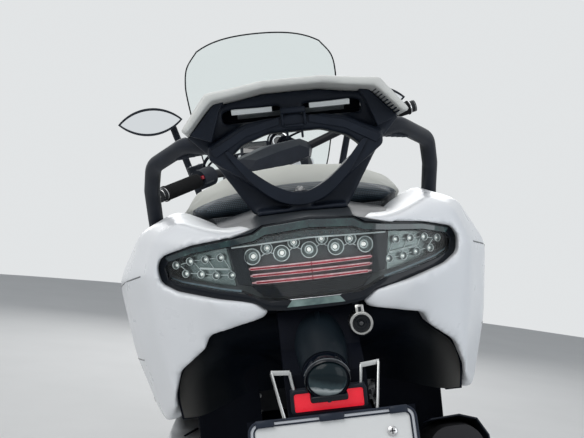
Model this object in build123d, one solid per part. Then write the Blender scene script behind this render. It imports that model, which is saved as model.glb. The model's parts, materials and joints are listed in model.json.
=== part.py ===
"""Maxi scooter leaning on its side stand, as an assembly of separate solids.

Upright frame while it is drawn: X to the rider's right, Y forward, Z up, and the
origin on the ground under the rear axle. lean() then tilts the whole machine onto
its side stand, and the origin ends under the middle of its bounding box.
"""
from build123d import *
from math import asin, atan2, cos, degrees, pi, radians, sin, sqrt, tan
import os

# Running gear
INCH = 25.4
WHEELBASE = 1550.0
RAKE = 26.5
TRAIL = 95.0
REAR_R = 283.0
REAR_W = 150.0
REAR_RIM_R = 14 * INCH / 2
FRONT_R = 274.5
FRONT_W = 120.0
FRONT_RIM_R = 15 * INCH / 2
CROWN_R = 75.0
TYRE_WALL = 9.0
RIM_WALL = 6.0
FLANGE_H = 12.0
BEAD_SHARE = 0.72
TYRE_SIDES = 60
CROWN_STEPS = (14.0, 34.0)
REAR_AXLE_R = 10.0
FRONT_AXLE_R = 8.5
DISC_R = 130.0
DISC_T = 4.5
FRONT_DISC_X = 58.0
REAR_DISC_X = 62.0

# Fits and clearances
RUN = 0.3
SEAT_GAP = 0.3
PAD_GAP = 1.5
MOVE = 6.0

# How it stands
LEAN = 12.0
STEER_STOP = 30.0

# Front end
LEG_X = 95.0
LEG_R = 23.0
STANCHION_R = 18.5
CROWN_ROOM = 66.0
CROWN_Z = 2 * FRONT_R + CROWN_ROOM
STEM_R = 14.0
HEAD_R = 26.0
HEAD_LOW = CROWN_Z + 45
HEAD_HIGH = 850.0
BAR_R = 11.0
BAR_HALF = 385.0
BAR_END_Y = WHEELBASE - 560
BAR_END_Z = 1013.0
GRIP_R = 17.0
GRIP_L = 118.0
WEIGHT_L = 18.0

# Bodywork
COWL_WALL = 12.0
PANEL_WALL = 22.0
SCREEN_T = 4.0
SCREEN_BEND_R = 400.0
LAMP_BEND_R = 320.0
LAMP_REAR_Y = -285.0
LAMP_BEND_Y = LAMP_REAR_Y + LAMP_BEND_R
RACK_WALL = 10.0
RAIL_R = 12.0
PLATE_W = 190.0
PLATE_H = 145.0
PLATE_TILT = 14.0

# The front body is placed from the splash guard behind the front tyre
TYRE_ROOM = 33.5
SPLASH_Y = WHEELBASE - FRONT_R - TYRE_ROOM
SPLASH_T = 8.0

# Steering axis: through STEER_FOOT on the ground, leaning back by the rake
STEER_FOOT = Vector(0, WHEELBASE + TRAIL, 0)
STEER_DIR = Vector(0, -sin(radians(RAKE)), cos(radians(RAKE)))
STEER_AXIS = Axis(STEER_FOOT, STEER_DIR)


def stem_y(z):
    """Where the steering axis is at height z."""
    return STEER_FOOT.Y - z * tan(radians(RAKE))


# Basic shapes

def rod(start, end, radius):
    """Round bar from start to end."""
    a, b = Vector(*start), Vector(*end)
    return Solid.make_cylinder(radius, (b - a).length, Plane(a, z_dir=b - a))


def axle_disc(y, z, radius, x0, x1):
    """Disc about a crosswise axis at (y, z), from x0 to x1."""
    return rod((x0, y, z), (x1, y, z), radius)


def block(x0, x1, y0, y1, z0, z1):
    return Pos((x0 + x1) / 2, (y0 + y1) / 2, (z0 + z1) / 2) * Box(x1 - x0, y1 - y0, z1 - z0)


def side_slab(outline, x0, x1):
    """Slab between x0 and x1 with a side outline of (y, z) points."""
    face = make_face(Polyline(*[(x0, y, z) for y, z in outline], close=True))
    return extrude(face, amount=x1 - x0, dir=(1, 0, 0))


def rear_slab(outline, y0, y1):
    """Slab between y0 and y1 with an outline of (x, z) points seen from behind."""
    face = make_face(Polyline(*[(x, y0, z) for x, z in outline], close=True))
    return extrude(face, amount=y1 - y0, dir=(0, 1, 0))


def mirrored(half):
    """A half outline of (x, z) points and its mirror image, as one closed outline."""
    return half + [(-x, z) for x, z in reversed(half) if x > 0]


def along_y(stations, start=0.0):
    """Straight-sided body through (y, outline) stations, with y from start and outlines of (x, z) points."""
    faces = [make_face(Polyline(*[(x, start + y, z) for x, z in outline], close=True))
             for y, outline in stations]
    return loft(faces, ruled=True)


def pipe(points, radius, bends):
    """Round tube along straight runs joined by arcs of the given radii."""
    path = FilletPolyline(*points, radius=bends)
    start = Vector(*points[0])
    heading = Vector(*points[1]) - start
    section = Plane(start, z_dir=heading) * Circle(radius)
    return sweep(section, path=path)


def both(right):
    """A right-hand piece with its left-hand twin."""
    return right + mirror(right, about=Plane.YZ)


# Wheels

def ring_of_flats(section):
    """Ring about X with flat facets all round, through a closed section of (x, radius) points."""
    faces = []
    for n in range(TYRE_SIDES):
        turns = (2 * pi / TYRE_SIDES * n, 2 * pi / TYRE_SIDES * (n + 1))
        near, far = ([Vector(x, r * cos(turn), r * sin(turn)) for x, r in section] for turn in turns)
        for i in range(len(section)):
            faces.append(Face(Wire.make_polygon([near[i - 1], near[i], far[i], far[i - 1]])))
    return Solid(Shell(faces))


def crown_points(radius, reach):
    """Points of the crown, from its left edge to its right."""
    edge = degrees(asin(reach / CROWN_R))
    angles = [-edge, -CROWN_STEPS[1], -CROWN_STEPS[0], 0, *CROWN_STEPS, edge]
    return [(CROWN_R * sin(radians(a)), radius - CROWN_R * (1 - cos(radians(a)))) for a in angles]


def tyre(radius, width, rim_r, hub_y):
    """Tyre with a round crown, straight walls and an open inside."""
    half = width / 2
    reach = min(half, CROWN_R * 0.96)
    crown = crown_points(radius, reach)
    shoulder = crown[-1][1]
    bead = half * BEAD_SHARE - RUN
    bead_r = rim_r + RUN
    lip_r = rim_r + FLANGE_H + RUN
    inner_r = radius - TYRE_WALL
    wall = [(half - 1, shoulder - 19), (bead + RIM_WALL, lip_r), (bead, lip_r), (bead, bead_r),
            (bead - TYRE_WALL, bead_r), (half - TYRE_WALL, shoulder - 20),
            (crown[-2][0], crown[-2][1] - TYRE_WALL)]
    section = crown + wall + [(0, inner_r)] + [(-x, r) for x, r in reversed(wall)]
    return ring_of_flats(section).translate((0, hub_y, radius))


def rim(radius, rim_r, width, spokes, bore_r, hub_half, disc_x):
    """Cast wheel: barrel with two flanges, hub, disc carrier and flat spokes."""
    half = width / 2 * BEAD_SHARE
    flange_r = rim_r + FLANGE_H
    barrel = [(-half, flange_r), (-half, rim_r), (half, rim_r), (half, flange_r),
              (half + RIM_WALL, flange_r), (half + RIM_WALL, rim_r - RIM_WALL),
              (22, rim_r - 2 * RIM_WALL), (-22, rim_r - 2 * RIM_WALL),
              (-half - RIM_WALL, rim_r - RIM_WALL), (-half - RIM_WALL, flange_r)]
    wheel = revolve(make_face(Polyline(*barrel, close=True)), axis=Axis.X)
    hub = Rot(0, 90, 0) * Cylinder(34, 2 * hub_half)
    spoke_r = rim_r - 1.5 * RIM_WALL
    spoke = Pos(0, spoke_r / 2, 0) * Box(20, spoke_r, 30)
    for n in range(spokes):
        hub = hub + spoke.rotate(Axis.X, 360 / spokes * n)
    for side in (disc_x if isinstance(disc_x, tuple) else (disc_x,)):
        face = side - DISC_T / 2 if side > 0 else side + DISC_T / 2
        hub = hub + rod((0, 0, 0), (face, 0, 0), 44)
    wheel = wheel + hub
    return wheel - Rot(0, 90, 0) * Cylinder(bore_r, 4 * hub_half)


def disc(x, hub_y, hub_z):
    """Drilled brake disc, open over the hub carrier."""
    plate = axle_disc(hub_y, hub_z, DISC_R, x - DISC_T / 2, x + DISC_T / 2)
    plate = plate - axle_disc(hub_y, hub_z, 36, x - 20, x + 20)
    for n in range(6):
        window = axle_disc(hub_y + 62 * cos(n * pi / 3), hub_z + 62 * sin(n * pi / 3), 15, x - 20, x + 20)
        plate = plate - window
    return plate


def caliper(x, hub_y, hub_z, angle, depth):
    """Brake caliper straddling the edge of a disc at an angle round the hub."""
    body = block(x - depth, x + depth, DISC_R - 34, DISC_R + 22, -42, 42)
    slot = block(x - DISC_T / 2 - PAD_GAP, x + DISC_T / 2 + PAD_GAP, 0, DISC_R + MOVE, -60, 60)
    body = body - slot
    return body.rotate(Axis.X, angle).translate((0, hub_y, hub_z))


FRONT_HUB = (WHEELBASE, FRONT_R)
REAR_HUB = (0.0, REAR_R)
FRONT_HUB_HALF = 52.0
REAR_HUB_HALF = 46.0

front_tyre = tyre(FRONT_R, FRONT_W, FRONT_RIM_R, WHEELBASE)
rear_tyre = tyre(REAR_R, REAR_W, REAR_RIM_R, 0)
front_rim = rim(FRONT_R, FRONT_RIM_R, FRONT_W, 5, FRONT_AXLE_R + RUN, FRONT_HUB_HALF,
                (FRONT_DISC_X, -FRONT_DISC_X)).translate((0, WHEELBASE, FRONT_R))
rear_rim = rim(REAR_R, REAR_RIM_R, REAR_W, 5, REAR_AXLE_R + RUN, REAR_HUB_HALF,
               REAR_DISC_X).translate((0, 0, REAR_R))
front_discs = both(disc(FRONT_DISC_X, *FRONT_HUB))
rear_disc = disc(REAR_DISC_X, *REAR_HUB)

# Fork and front fender
LEG_TOP_Z = CROWN_Z + 48


def leg_point(z, x=LEG_X):
    """Point on a fork leg's centre line, which is parallel to the steering axis."""
    return (x, WHEELBASE - (z - FRONT_R) * tan(radians(RAKE)), z)


def fork():
    leg = rod(leg_point(FRONT_R - 30), leg_point(FRONT_R + 190), LEG_R)
    leg = leg + rod(leg_point(FRONT_R + 180), leg_point(LEG_TOP_Z), STANCHION_R)
    legs = both(leg)
    crown_plane = Plane((0, stem_y(CROWN_Z), CROWN_Z), x_dir=(1, 0, 0), z_dir=STEER_DIR)
    ahead = (WHEELBASE - (CROWN_Z - FRONT_R) * tan(radians(RAKE)) - stem_y(CROWN_Z)) * cos(radians(RAKE))
    outline = make_hull((Pos(0, 0) * Circle(32) + Pos(LEG_X, ahead) * Circle(26)
                         + Pos(-LEG_X, ahead) * Circle(26)).edges())
    crown = extrude(crown_plane * outline, amount=26)
    stem = rod((0, stem_y(CROWN_Z), CROWN_Z), (0, stem_y(985), 985), STEM_R)
    axle = rod((-LEG_X - 30, *FRONT_HUB), (LEG_X + 30, *FRONT_HUB), FRONT_AXLE_R)
    sleeve_r = FRONT_AXLE_R + 8
    inner = FRONT_HUB_HALF + 10
    sleeves = both(rod((inner, *FRONT_HUB), (LEG_X, *FRONT_HUB), sleeve_r))
    return legs + crown + stem + axle + sleeves


FENDER_IN = FRONT_R + 12
FENDER_T = 4.0
FENDER_HALF = FRONT_W / 2 + 8
EAR_R = FENDER_IN + FENDER_T - 50


def front_fender(fork_solid):
    inner, outer = FENDER_IN, FENDER_IN + FENDER_T
    drop = 34
    section = Polyline((0, outer), (FENDER_HALF * 0.6, outer - 10), (FENDER_HALF, outer - drop),
                       (FENDER_HALF, outer - 64), (FENDER_HALF - FENDER_T, outer - 64),
                       (FENDER_HALF - FENDER_T, inner - drop), (FENDER_HALF * 0.6 - 2, inner - 10),
                       (0, inner), (2 - FENDER_HALF * 0.6, inner - 10),
                       (FENDER_T - FENDER_HALF, inner - drop),
                       (FENDER_T - FENDER_HALF, outer - 64), (-FENDER_HALF, outer - 64),
                       (-FENDER_HALF, outer - drop), (-FENDER_HALF * 0.6, outer - 10), close=True)
    shell = revolve(make_face(section), axis=Axis.X, revolution_arc=128).rotate(Axis.X, 22)
    shell = shell.translate((0, WHEELBASE, FRONT_R))
    ear_y = WHEELBASE - EAR_R * sin(radians(RAKE))
    ear_z = FRONT_R + EAR_R * cos(radians(RAKE))
    ear = both(block(FENDER_HALF - 1, LEG_X, ear_y - 22, ear_y + 22, ear_z - 22, ear_z + 22))
    return shell + (ear - fork_solid)


fork_solid = fork()
caliper_arm = side_slab([(-88, 43.5), (-30, 25.5), (-30, 70.5), (-98, 97.5)], FRONT_DISC_X + 13, LEG_X - 6)
caliper_arm = caliper_arm.translate((0, *FRONT_HUB))
front_calipers = both(caliper(FRONT_DISC_X, *FRONT_HUB, 152, 13) + caliper_arm) - fork_solid
fender = front_fender(fork_solid)

# Handlebar group
CLAMP_Z = 985.0


def bar_line(side):
    return [(side * BAR_HALF, BAR_END_Y, BAR_END_Z), (side * 215, BAR_END_Y + 62, BAR_END_Z + 4),
            (side * 70, stem_y(CLAMP_Z) - 12, CLAMP_Z + 10)]


def toward_centre(distance, side=1):
    """Point on the bar's grip run, that far inboard from its end."""
    end, bend = (Vector(*p) for p in bar_line(side)[:2])
    return tuple(end + (bend - end).normalized() * distance)


handlebar = pipe(bar_line(-1) + bar_line(1)[::-1], BAR_R, [70, 50, 50, 70])
clamp = rod((0, stem_y(CLAMP_Z - 18), CLAMP_Z - 18), (0, stem_y(CLAMP_Z + 22), CLAMP_Z + 22), 24)
handlebar = handlebar + (clamp - fork_solid)
grips = both(rod(toward_centre(2), toward_centre(2 + GRIP_L), GRIP_R)
             - rod(toward_centre(-10), toward_centre(GRIP_L + 30), BAR_R + RUN))
bar_weights = both(rod(toward_centre(0.0), toward_centre(-WEIGHT_L), GRIP_R - 1))


def switch_housings():
    barrel = rod(toward_centre(GRIP_L + 5), toward_centre(GRIP_L + 49), 25)
    barrel = barrel - rod(toward_centre(GRIP_L - 30), toward_centre(GRIP_L + 90), BAR_R + RUN)
    return both(barrel)


def brake_levers():
    root = Vector(*toward_centre(GRIP_L + 26)) + Vector(0, 22, 6)
    tip = Vector(*toward_centre(18)) + Vector(0, 52, -4)
    middle = (root + tip) * 0.5 + Vector(0, 14, 0)
    lever = pipe([tuple(root), tuple(middle), tuple(tip)], 6.5, [60])
    return both(lever)


housings = switch_housings()
levers = brake_levers() - housings
cover_stations = [
    (-58, [(0, 22), (70, 20), (96, 4), (88, -16), (0, -20)]),
    (-26, [(0, 44), (96, 36), (132, 10), (112, -22), (0, -24)]),
    (24, [(0, 48), (88, 40), (118, 12), (100, -20), (0, -24)]),
    (46, [(0, 26), (60, 22), (82, 6), (70, -12), (0, -16)]),
]
cover_y, cover_z = stem_y(CLAMP_Z + 8) - 6, CLAMP_Z + 8
handlebar_cover = along_y([(cover_y + y, [(x, cover_z + z) for x, z in mirrored(half)])
                           for y, half in cover_stations])
handlebar_cover = handlebar_cover - pipe(bar_line(-1) + bar_line(1)[::-1], BAR_R + RUN, [70, 50, 50, 70])
handlebar_cover = handlebar_cover - fork_solid - handlebar

# Engine, belt drive and rear axle
ENGINE = dict(x=85.0, y0=322.0, y1=600.0, z0=228.0, z1=428.0)
CASE_IN = 92.0
CASE_OUT = 160.0
CASE_FRONT = (402.0, 320.0, 96.0)
SHOCK_X = 104.0
SHOCK_R = 22.0
SHOCK_FOOT = (-30.0, 352.0)
SHOCK_TOP = (120.0, 640.0)


def case_outline(rear_r, front, x):
    """Flat outline round the rear axle and a front circle (y, z, radius), at x."""
    y, z, r = front
    hull = make_hull((Pos(0, REAR_R) * Circle(rear_r) + Pos(y, z) * Circle(r)).edges())
    return Plane((x, 0, 0), x_dir=(0, 1, 0), z_dir=(1, 0, 0)) * hull


engine_block = block(-ENGINE["x"], ENGINE["x"], ENGINE["y0"], ENGINE["y1"], ENGINE["z0"], ENGINE["z1"])
engine_block = chamfer(engine_block.edges().filter_by(Axis.X), 24)
belt_case = extrude(case_outline(62, CASE_FRONT, -CASE_OUT), amount=CASE_OUT - CASE_IN)
belt_case = chamfer(belt_case.faces().sort_by(Axis.X)[0].edges(), 10)
belt_case = belt_case + axle_disc(*REAR_HUB, 50, -CASE_IN - 4, -REAR_HUB_HALF - 3)
belt_case = belt_case + axle_disc(*CASE_FRONT[:2], 60, -CASE_IN - 4, -ENGINE["x"])
belt_case = belt_case + axle_disc(*SHOCK_FOOT, 18, -SHOCK_X - 18, -CASE_IN)
belt_case = belt_case + axle_disc(*REAR_HUB, REAR_AXLE_R, -CASE_IN, 132)

ARM_IN, ARM_OUT = 92.0, 118.0
rear_arm = extrude(case_outline(46, (330, 300, 38), ARM_IN), amount=ARM_OUT - ARM_IN)
rear_arm = chamfer(rear_arm.faces().sort_by(Axis.X)[-1].edges(), 5)
rear_arm = rear_arm + axle_disc(346, 300, 22, ENGINE["x"], ARM_IN + 2)
rear_arm = rear_arm + axle_disc(*SHOCK_FOOT, 18, ARM_IN, SHOCK_X + 14)
foot_y, foot_z = SHOCK_FOOT
rear_arm = rear_arm + block(ARM_IN, SHOCK_X + 14, foot_y - 14, foot_y + 22, REAR_R, foot_z)
rear_arm = rear_arm + caliper(REAR_DISC_X, *REAR_HUB, 22, 13)
rear_arm = rear_arm + block(REAR_DISC_X + 12, ARM_IN + 4, 96, 150, 296, 336)
rear_arm = rear_arm - axle_disc(*REAR_HUB, REAR_AXLE_R + RUN, 0, 200)

# Exhaust
MUFFLER_X = 172.0
MUFFLER_FRONT = Vector(MUFFLER_X, 330, 335)
MUFFLER_REAR = Vector(MUFFLER_X, -235, 518)
muffler_stations = [(0.0, 60, 96), (0.16, 86, 142), (0.9, 90, 150), (1.0, 74, 128)]


def muffler():
    heading = MUFFLER_REAR - MUFFLER_FRONT
    faces = []
    for share, width, height in muffler_stations:
        at = Plane(MUFFLER_FRONT + heading * share, x_dir=(1, 0, 0), z_dir=heading)
        faces.append(at * RectangleRounded(width, height, width * 0.4))
    return loft(faces, ruled=True)


muffler_inlet = tuple(MUFFLER_FRONT + Vector(0, -6, 0))
exhaust_pipe = pipe([(40, 604, 262), (56, 590, 205), (150, 430, 222), muffler_inlet], 18, [24, 60])
exhaust = muffler() + exhaust_pipe - engine_block
rear_arm = rear_arm + (block(ARM_OUT - 6, MUFFLER_X, 120, 160, 296, 330) - muffler())

# Air box over the belt case
air_box = along_y([
    (-148, [(-150, 452), (-222, 452), (-226, 520), (-214, 556), (-150, 556)]),
    (-60, [(-136, 420), (-232, 420), (-238, 520), (-222, 578), (-136, 578)]),
    (170, [(-136, 432), (-228, 432), (-234, 520), (-218, 572), (-136, 572)]),
    (236, [(-150, 452), (-210, 452), (-214, 510), (-202, 540), (-150, 540)]),
])
air_box = air_box + block(-156, -140, 60, 100, 345, 444) - belt_case

# Frame tubes
TUBE_R = 14.0
RAIL_X = 205.0
PIVOT = Vector(-142, 592, 214)
PIVOT_AXIS = Vector(1, 0, -0.35).normalized()
PIVOT_PIN_R = 7.0
CENTRE_PIVOT = (348.0, 192.0)


def frame_run(radius):
    points = [(16, stem_y(HEAD_LOW + 75), HEAD_LOW + 75), (66, SPLASH_Y - 30, 430), (84, SPLASH_Y - 96, 262),
              (110, 690, 262), (168, 618, 470), (RAIL_X, 520, 596), (RAIL_X, -96, 700)]
    return pipe(points, radius, [80, 60, 60, 60, 60])


def shock_brackets(room):
    """Brackets over the shocks, grown by a room on each side."""
    y, z = SHOCK_TOP
    return both(block(SHOCK_X - 16 - room, RAIL_X, y - 14 - room, y + 14 + room, z - 4 - room, z + 18 + room))


def main_frame():
    solid = both(frame_run(TUBE_R))
    solid = solid + rod((0, stem_y(HEAD_LOW), HEAD_LOW), (0, stem_y(HEAD_HIGH), HEAD_HIGH), HEAD_R)
    for reach, y, z in ((108, 700, 262), (84, SPLASH_Y - 112, 262), (RAIL_X, -84, 698)):
        solid = solid + rod((-reach, y, z), (reach, y, z), TUBE_R - 3)
    solid = solid + both(block(ENGINE["x"], 132, 584, 676, 300, 326))
    solid = solid + shock_brackets(0)
    solid = solid + block(-128, -112, 575, 648, 202, 262) + block(-128, -112, 600, 672, 252, 335)
    pin = rod(tuple(PIVOT - PIVOT_AXIS * 12), tuple(PIVOT + PIVOT_AXIS * 22), PIVOT_PIN_R)
    solid = solid + pin
    stem_bore = rod((0, stem_y(500), 500), (0, stem_y(1100), 1100), STEM_R + RUN)
    return solid - stem_bore


frame_solid = main_frame() - engine_block


def rear_shocks():
    foot, top = Vector(SHOCK_X, *SHOCK_FOOT), Vector(SHOCK_X, *SHOCK_TOP)
    line = (top - foot).normalized()
    strut = rod(tuple(foot), tuple(top), 10)
    spring = rod(tuple(foot + line * 44), tuple(top - line * 36), SHOCK_R)
    return both(strut + spring) - belt_case - rear_arm - frame_solid


shocks = rear_shocks()

# Storage bin under the seat
SEAT_FRONT_Y, SEAT_FRONT_Z = 655.0, 747.0
SEAT_REAR_Y, SEAT_REAR_Z = -72.0, 860.0


def seat_floor(y):
    """Height of the flat underside of the seat."""
    share = (y - SEAT_FRONT_Y) / (SEAT_REAR_Y - SEAT_FRONT_Y)
    return SEAT_FRONT_Z + share * (SEAT_REAR_Z - SEAT_FRONT_Z)


BIN_WALL = 5.0
BIN_WIDE, BIN_NARROW = 178.0, 140.0


def bin_shape(inset, rise):
    """Bin body with a deep front and a shallow rear over the wheel."""
    rear = [(-58 + inset, 668 + inset), (300 + inset, 668 + inset), (300 + inset, 480 + inset),
            (430 + inset, 480 + inset), (430 + inset, seat_floor(430) + rise),
            (-58 + inset, seat_floor(-58) + rise)]
    front = [(330 + inset, 480 + inset), (604 - inset, 480 + inset), (604 - inset, seat_floor(604) + rise),
             (330 + inset, seat_floor(330) + rise)]
    wide, narrow = BIN_WIDE - inset, BIN_NARROW - inset
    return side_slab(rear, -wide, wide) + side_slab(front, -narrow, narrow)


bin_outer = bin_shape(0, -3)
seat_bin = bin_outer - bin_shape(BIN_WALL, 60) - frame_solid

# Tail lamp: a curved face cut to its outline
lamp_half = [(0, 880), (58, 876), (72, 868), (97, 864), (151, 858), (192, 847), (199, 833), (196, 812),
             (175, 800), (122, 787), (77, 779), (62, 768), (38, 765), (0, 765)]
window_half = [(0, 866), (56, 862), (70, 856), (98, 852), (150, 847), (183, 838), (189, 831), (186, 816),
               (170, 809), (118, 797), (88, 792), (72, 784), (56, 779), (0, 779)]
bar_rows = [(820, 78), (811, 76), (802, 72)]


def lamp_cut(half_outline, outer_r, inner_r):
    """Upright outline cut from a shell about the lamp's vertical axis."""
    prism = rear_slab(mirrored(half_outline), -320, -120)
    ring = Pos(0, LAMP_BEND_Y, 820) * (Cylinder(outer_r, 300) - Cylinder(inner_r, 320))
    return prism & ring


LENS_T = 3.0
window_hole = rear_slab(mirrored(window_half), -400, 0)
lamp_bezel = lamp_cut(lamp_half, LAMP_BEND_R, LAMP_BEND_R - 60) - window_hole
lamp_lens = lamp_cut(window_half, LAMP_BEND_R - 1, LAMP_BEND_R - 1 - LENS_T)
lamp_core = lamp_cut(window_half, LAMP_BEND_R - 30, LAMP_BEND_R - 60)
brake_bars = None
for bar_z, bar_half in bar_rows:
    bar = lamp_cut([(0, bar_z + 2.4), (bar_half, bar_z + 1.6), (bar_half, bar_z - 1.6), (0, bar_z - 2.4)],
                   LAMP_BEND_R - 22, LAMP_BEND_R - 30 + RUN)
    brake_bars = bar if brake_bars is None else brake_bars + bar

# Tail panels and the dark shell inside them
tail_stations = [
    (-276, [(58, 874), (85, 871), (112, 862), (128, 845), (135, 812), (128, 782), (110, 764), (78, 757),
            (58, 767)]),
    (-225, [(58, 878), (112, 874), (165, 888), (198, 872), (216, 822), (206, 750), (192, 650), (150, 690),
            (75, 745)]),
    (-150, [(100, 864), (120, 877), (170, 900), (220, 880), (254, 815), (242, 715), (216, 612), (188, 620),
            (140, 730)]),
    (-80, [(112, 860), (122, 879), (172, 904), (232, 877), (270, 810), (257, 700), (228, 600), (196, 604),
           (150, 725)]),
    (60, [(158, 850), (176, 882), (198, 898), (246, 868), (281, 800), (269, 700), (240, 590), (212, 592),
          (205, 720)]),
    (250, [(192, 815), (198, 838), (212, 846), (252, 820), (287, 762), (281, 690), (257, 575), (232, 575),
           (228, 700)]),
    (430, [(190, 762), (194, 782), (206, 788), (242, 764), (282, 720), (285, 670), (264, 560), (240, 560),
           (232, 670)]),
]
arch_half = [(0, 760), (74, 757), (138, 742), (146, 724), (182, 695), (193, 660), (189, 626), (167, 626),
             (170, 655), (160, 684), (126, 706), (120, 722), (70, 736), (0, 738)]
arch_core_half = [(0, 760), (74, 757), (138, 742), (146, 724), (182, 695), (193, 660), (189, 560), (0, 560)]
arch_leg_half = [(191, 664), (189, 626), (167, 626), (170, 655), (166, 664)]
ARCH_REAR, ARCH_FRONT, LEG_FRONT = -205.0, -64.0, 250.0

roof_half = [(0, 1068), (40, 1067), (113, 1051), (150, 1004), (141, 1001), (106, 1041), (38, 1057), (0, 1058)]
ROOF_REAR, ROOF_FRONT = -250.0, -92.0
rail_run = [(104, -166, 984), (150, -128, 994), (206, -44, 972), (217, 8, 936), (221, 62, 892),
            (212, 96, 690)]
RAIL_BENDS = [60, 60, 70, 40]
rack_roof = rear_slab(mirrored(roof_half), ROOF_REAR, ROOF_FRONT)
grab_rails = both(pipe(rail_run, RAIL_R, RAIL_BENDS)) - frame_solid - rack_roof
rail_sleeve = both(pipe(rail_run, RAIL_R + RUN, RAIL_BENDS))
lamp_hole = rear_slab(mirrored(lamp_half), -400, -120)
tail_skin = both(along_y(tail_stations))
frame_sleeve = both(frame_run(TUBE_R + RUN))
bracket_room = shock_brackets(2)
tail_panels = tail_skin - lamp_hole - rear_slab(mirrored(arch_core_half), -400, 600)
tail_panels = tail_panels - rail_sleeve - frame_sleeve - bin_outer - bracket_room - frame_solid
under_cover = rear_slab(mirrored(arch_half), ARCH_REAR, ARCH_FRONT)
under_cover = under_cover + both(rear_slab(arch_leg_half, ARCH_FRONT, LEG_FRONT))
under_cover = under_cover - frame_sleeve - bracket_room - frame_solid - bin_outer
GUARD_HALF, GUARD_IN, GUARD_T = REAR_W / 2 + 9, REAR_R + 20, 5.0
guard_section = Pos(0, GUARD_IN + GUARD_T / 2) * Rectangle(2 * GUARD_HALF, GUARD_T)
mudguard = revolve(guard_section, axis=Axis.X, revolution_arc=62).rotate(Axis.X, 98).translate((0, 0, REAR_R))
guard_strut = block(-34, 34, -140, -122, 2 * REAR_R - 16, 740) - axle_disc(*REAR_HUB, GUARD_IN, -100, 100)
under_cover = under_cover + mudguard + guard_strut
tail_top = along_y([
    (-282, mirrored([(0, 881), (58, 876), (104, 862), (104, 850), (0, 850)])),
    (-200, mirrored([(0, 886), (62, 884), (118, 874), (112, 852), (0, 852)])),
    (-84, mirrored([(0, 894), (70, 892), (120, 880), (112, 858), (0, 858)])),
])
tail_top = tail_top - lamp_hole - tail_panels - bin_outer - frame_solid

# Rack: open frame over the tail, with a roof on top
opening_half = [(0, 915), (46, 938), (90, 966), (71, 982), (36, 994), (0, 994)]
wall_half = [(0, 884), (63, 884), (118, 972), (146, 1002), (108, 1047), (40, 1060), (0, 1060)]
rib_half = [(0, 894), (28, 902), (118, 966), (118, 984), (64, 1012), (0, 1024)]
slot_half = [(14, 1018), (95, 1014), (95, 1032), (80, 1037), (14, 1040)]
WALL_REAR, WALL_FRONT = -176.0, -162.0
TOP_CASE_PCD = 100.0
TOP_CASE_HOLE_R = 3.3
rack_cover = rack_roof
for n in range(4):
    turn = radians(45 + 90 * n)
    x, y = TOP_CASE_PCD / 2 * cos(turn), (ROOF_REAR + ROOF_FRONT) / 2 + TOP_CASE_PCD / 2 * sin(turn)
    rack_cover = rack_cover - rod((x, y, 1030), (x, y, 1090), TOP_CASE_HOLE_R)
rack_frame = rear_slab(mirrored(wall_half), WALL_REAR, WALL_FRONT)
rack_frame = rack_frame + rear_slab(mirrored(rib_half), WALL_REAR - 22, WALL_FRONT)
rack_frame = rack_frame + block(-62, 62, -198, -150, 880, 892)
rack_frame = rack_frame - rear_slab(mirrored(opening_half), -300, 0)
rack_frame = rack_frame - both(rear_slab(slot_half, -300, 0))
rack_frame = rack_frame - rack_cover - tail_top - grab_rails

# Number plate, its hanger, lamp and reflector, and the rear camera
PLATE_TOP = Vector(0, -350, 640)
plate_out = (0, -cos(radians(PLATE_TILT)), sin(radians(PLATE_TILT)))
plate_plane = Plane(PLATE_TOP, x_dir=(1, 0, 0), z_dir=plate_out)
plate_middle = plate_plane * Pos(0, -PLATE_H / 2, 0)
number_plate = plate_middle * Pos(0, 0, 1.0) * Box(PLATE_W, PLATE_H, 1.6)
plate_bolt_x = 70.0
for side in (-1, 1):
    number_plate = number_plate - plate_middle * Pos(side * plate_bolt_x, 50, 0) * Cylinder(3, 30)
plate_tray = plate_middle * (Pos(0, 0, -1.8) * Box(PLATE_W + 12, PLATE_H + 12, 4)
                             + Pos(0, 0, 0.4) * (Box(PLATE_W + 12, PLATE_H + 12, 5)
                                                 - Box(PLATE_W + 0.8, PLATE_H + 0.8, 6)))
for side in (-1, 1):
    plate_tray = plate_tray - plate_middle * Pos(side * plate_bolt_x, 50, 0) * Cylinder(3, 30)
hanger_line = [(-206, 762), (-262, 762), (-282, 716), (-318, 690), (-330, 650), (-354, 646), (-390, 506),
               (-366, 500), (-334, 622), (-286, 632), (-236, 690)]
plate_hanger = side_slab(hanger_line, -50, 50) - plate_middle * Pos(0, 0, 50) * Box(300, 300, 107.6)
snout = Solid.make_cone(30, 25, 46, Plane((0, -306, 692), z_dir=(0, -1, -0.12)))
plate_hanger = plate_hanger + (plate_tray - number_plate) + snout
plate_hanger = plate_hanger - lamp_cut(lamp_half, LAMP_BEND_R, LAMP_BEND_R - 60) - under_cover
reflector = block(-43, 43, -338, -327, 647, 672) - plate_hanger
camera_lens = rod((51, -264, 740), (51, -226, 740), 13.5)
rear_camera = camera_lens + block(47, 55, -262, -244, 745, 772) - lamp_bezel - under_cover
rear_camera = rear_camera - plate_hanger

# Nose cowl: an open-bottomed shell round the fork
cowl_stations = [
    (-70, [(0, 892), (185, 888), (232, 845), (256, 765), (262, 650), (252, 500), (0, 500)]),
    (58, [(0, 915), (180, 910), (235, 865), (262, 768), (262, 650), (236, 520), (0, 520)]),
    (178, [(0, 930), (150, 925), (222, 872), (250, 772), (246, 665), (205, 565), (0, 565)]),
    (288, [(0, 900), (115, 890), (185, 845), (212, 772), (196, 690), (150, 615), (0, 615)]),
    (388, [(0, 825), (70, 815), (122, 790), (142, 752), (126, 706), (85, 668), (0, 668)]),
    (448, [(0, 768), (22, 765), (45, 755), (52, 738), (44, 718), (25, 704), (0, 704)]),
]
lamp_zone_half = [(34, 726), (52, 792), (142, 846), (196, 806), (132, 722)]


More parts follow.
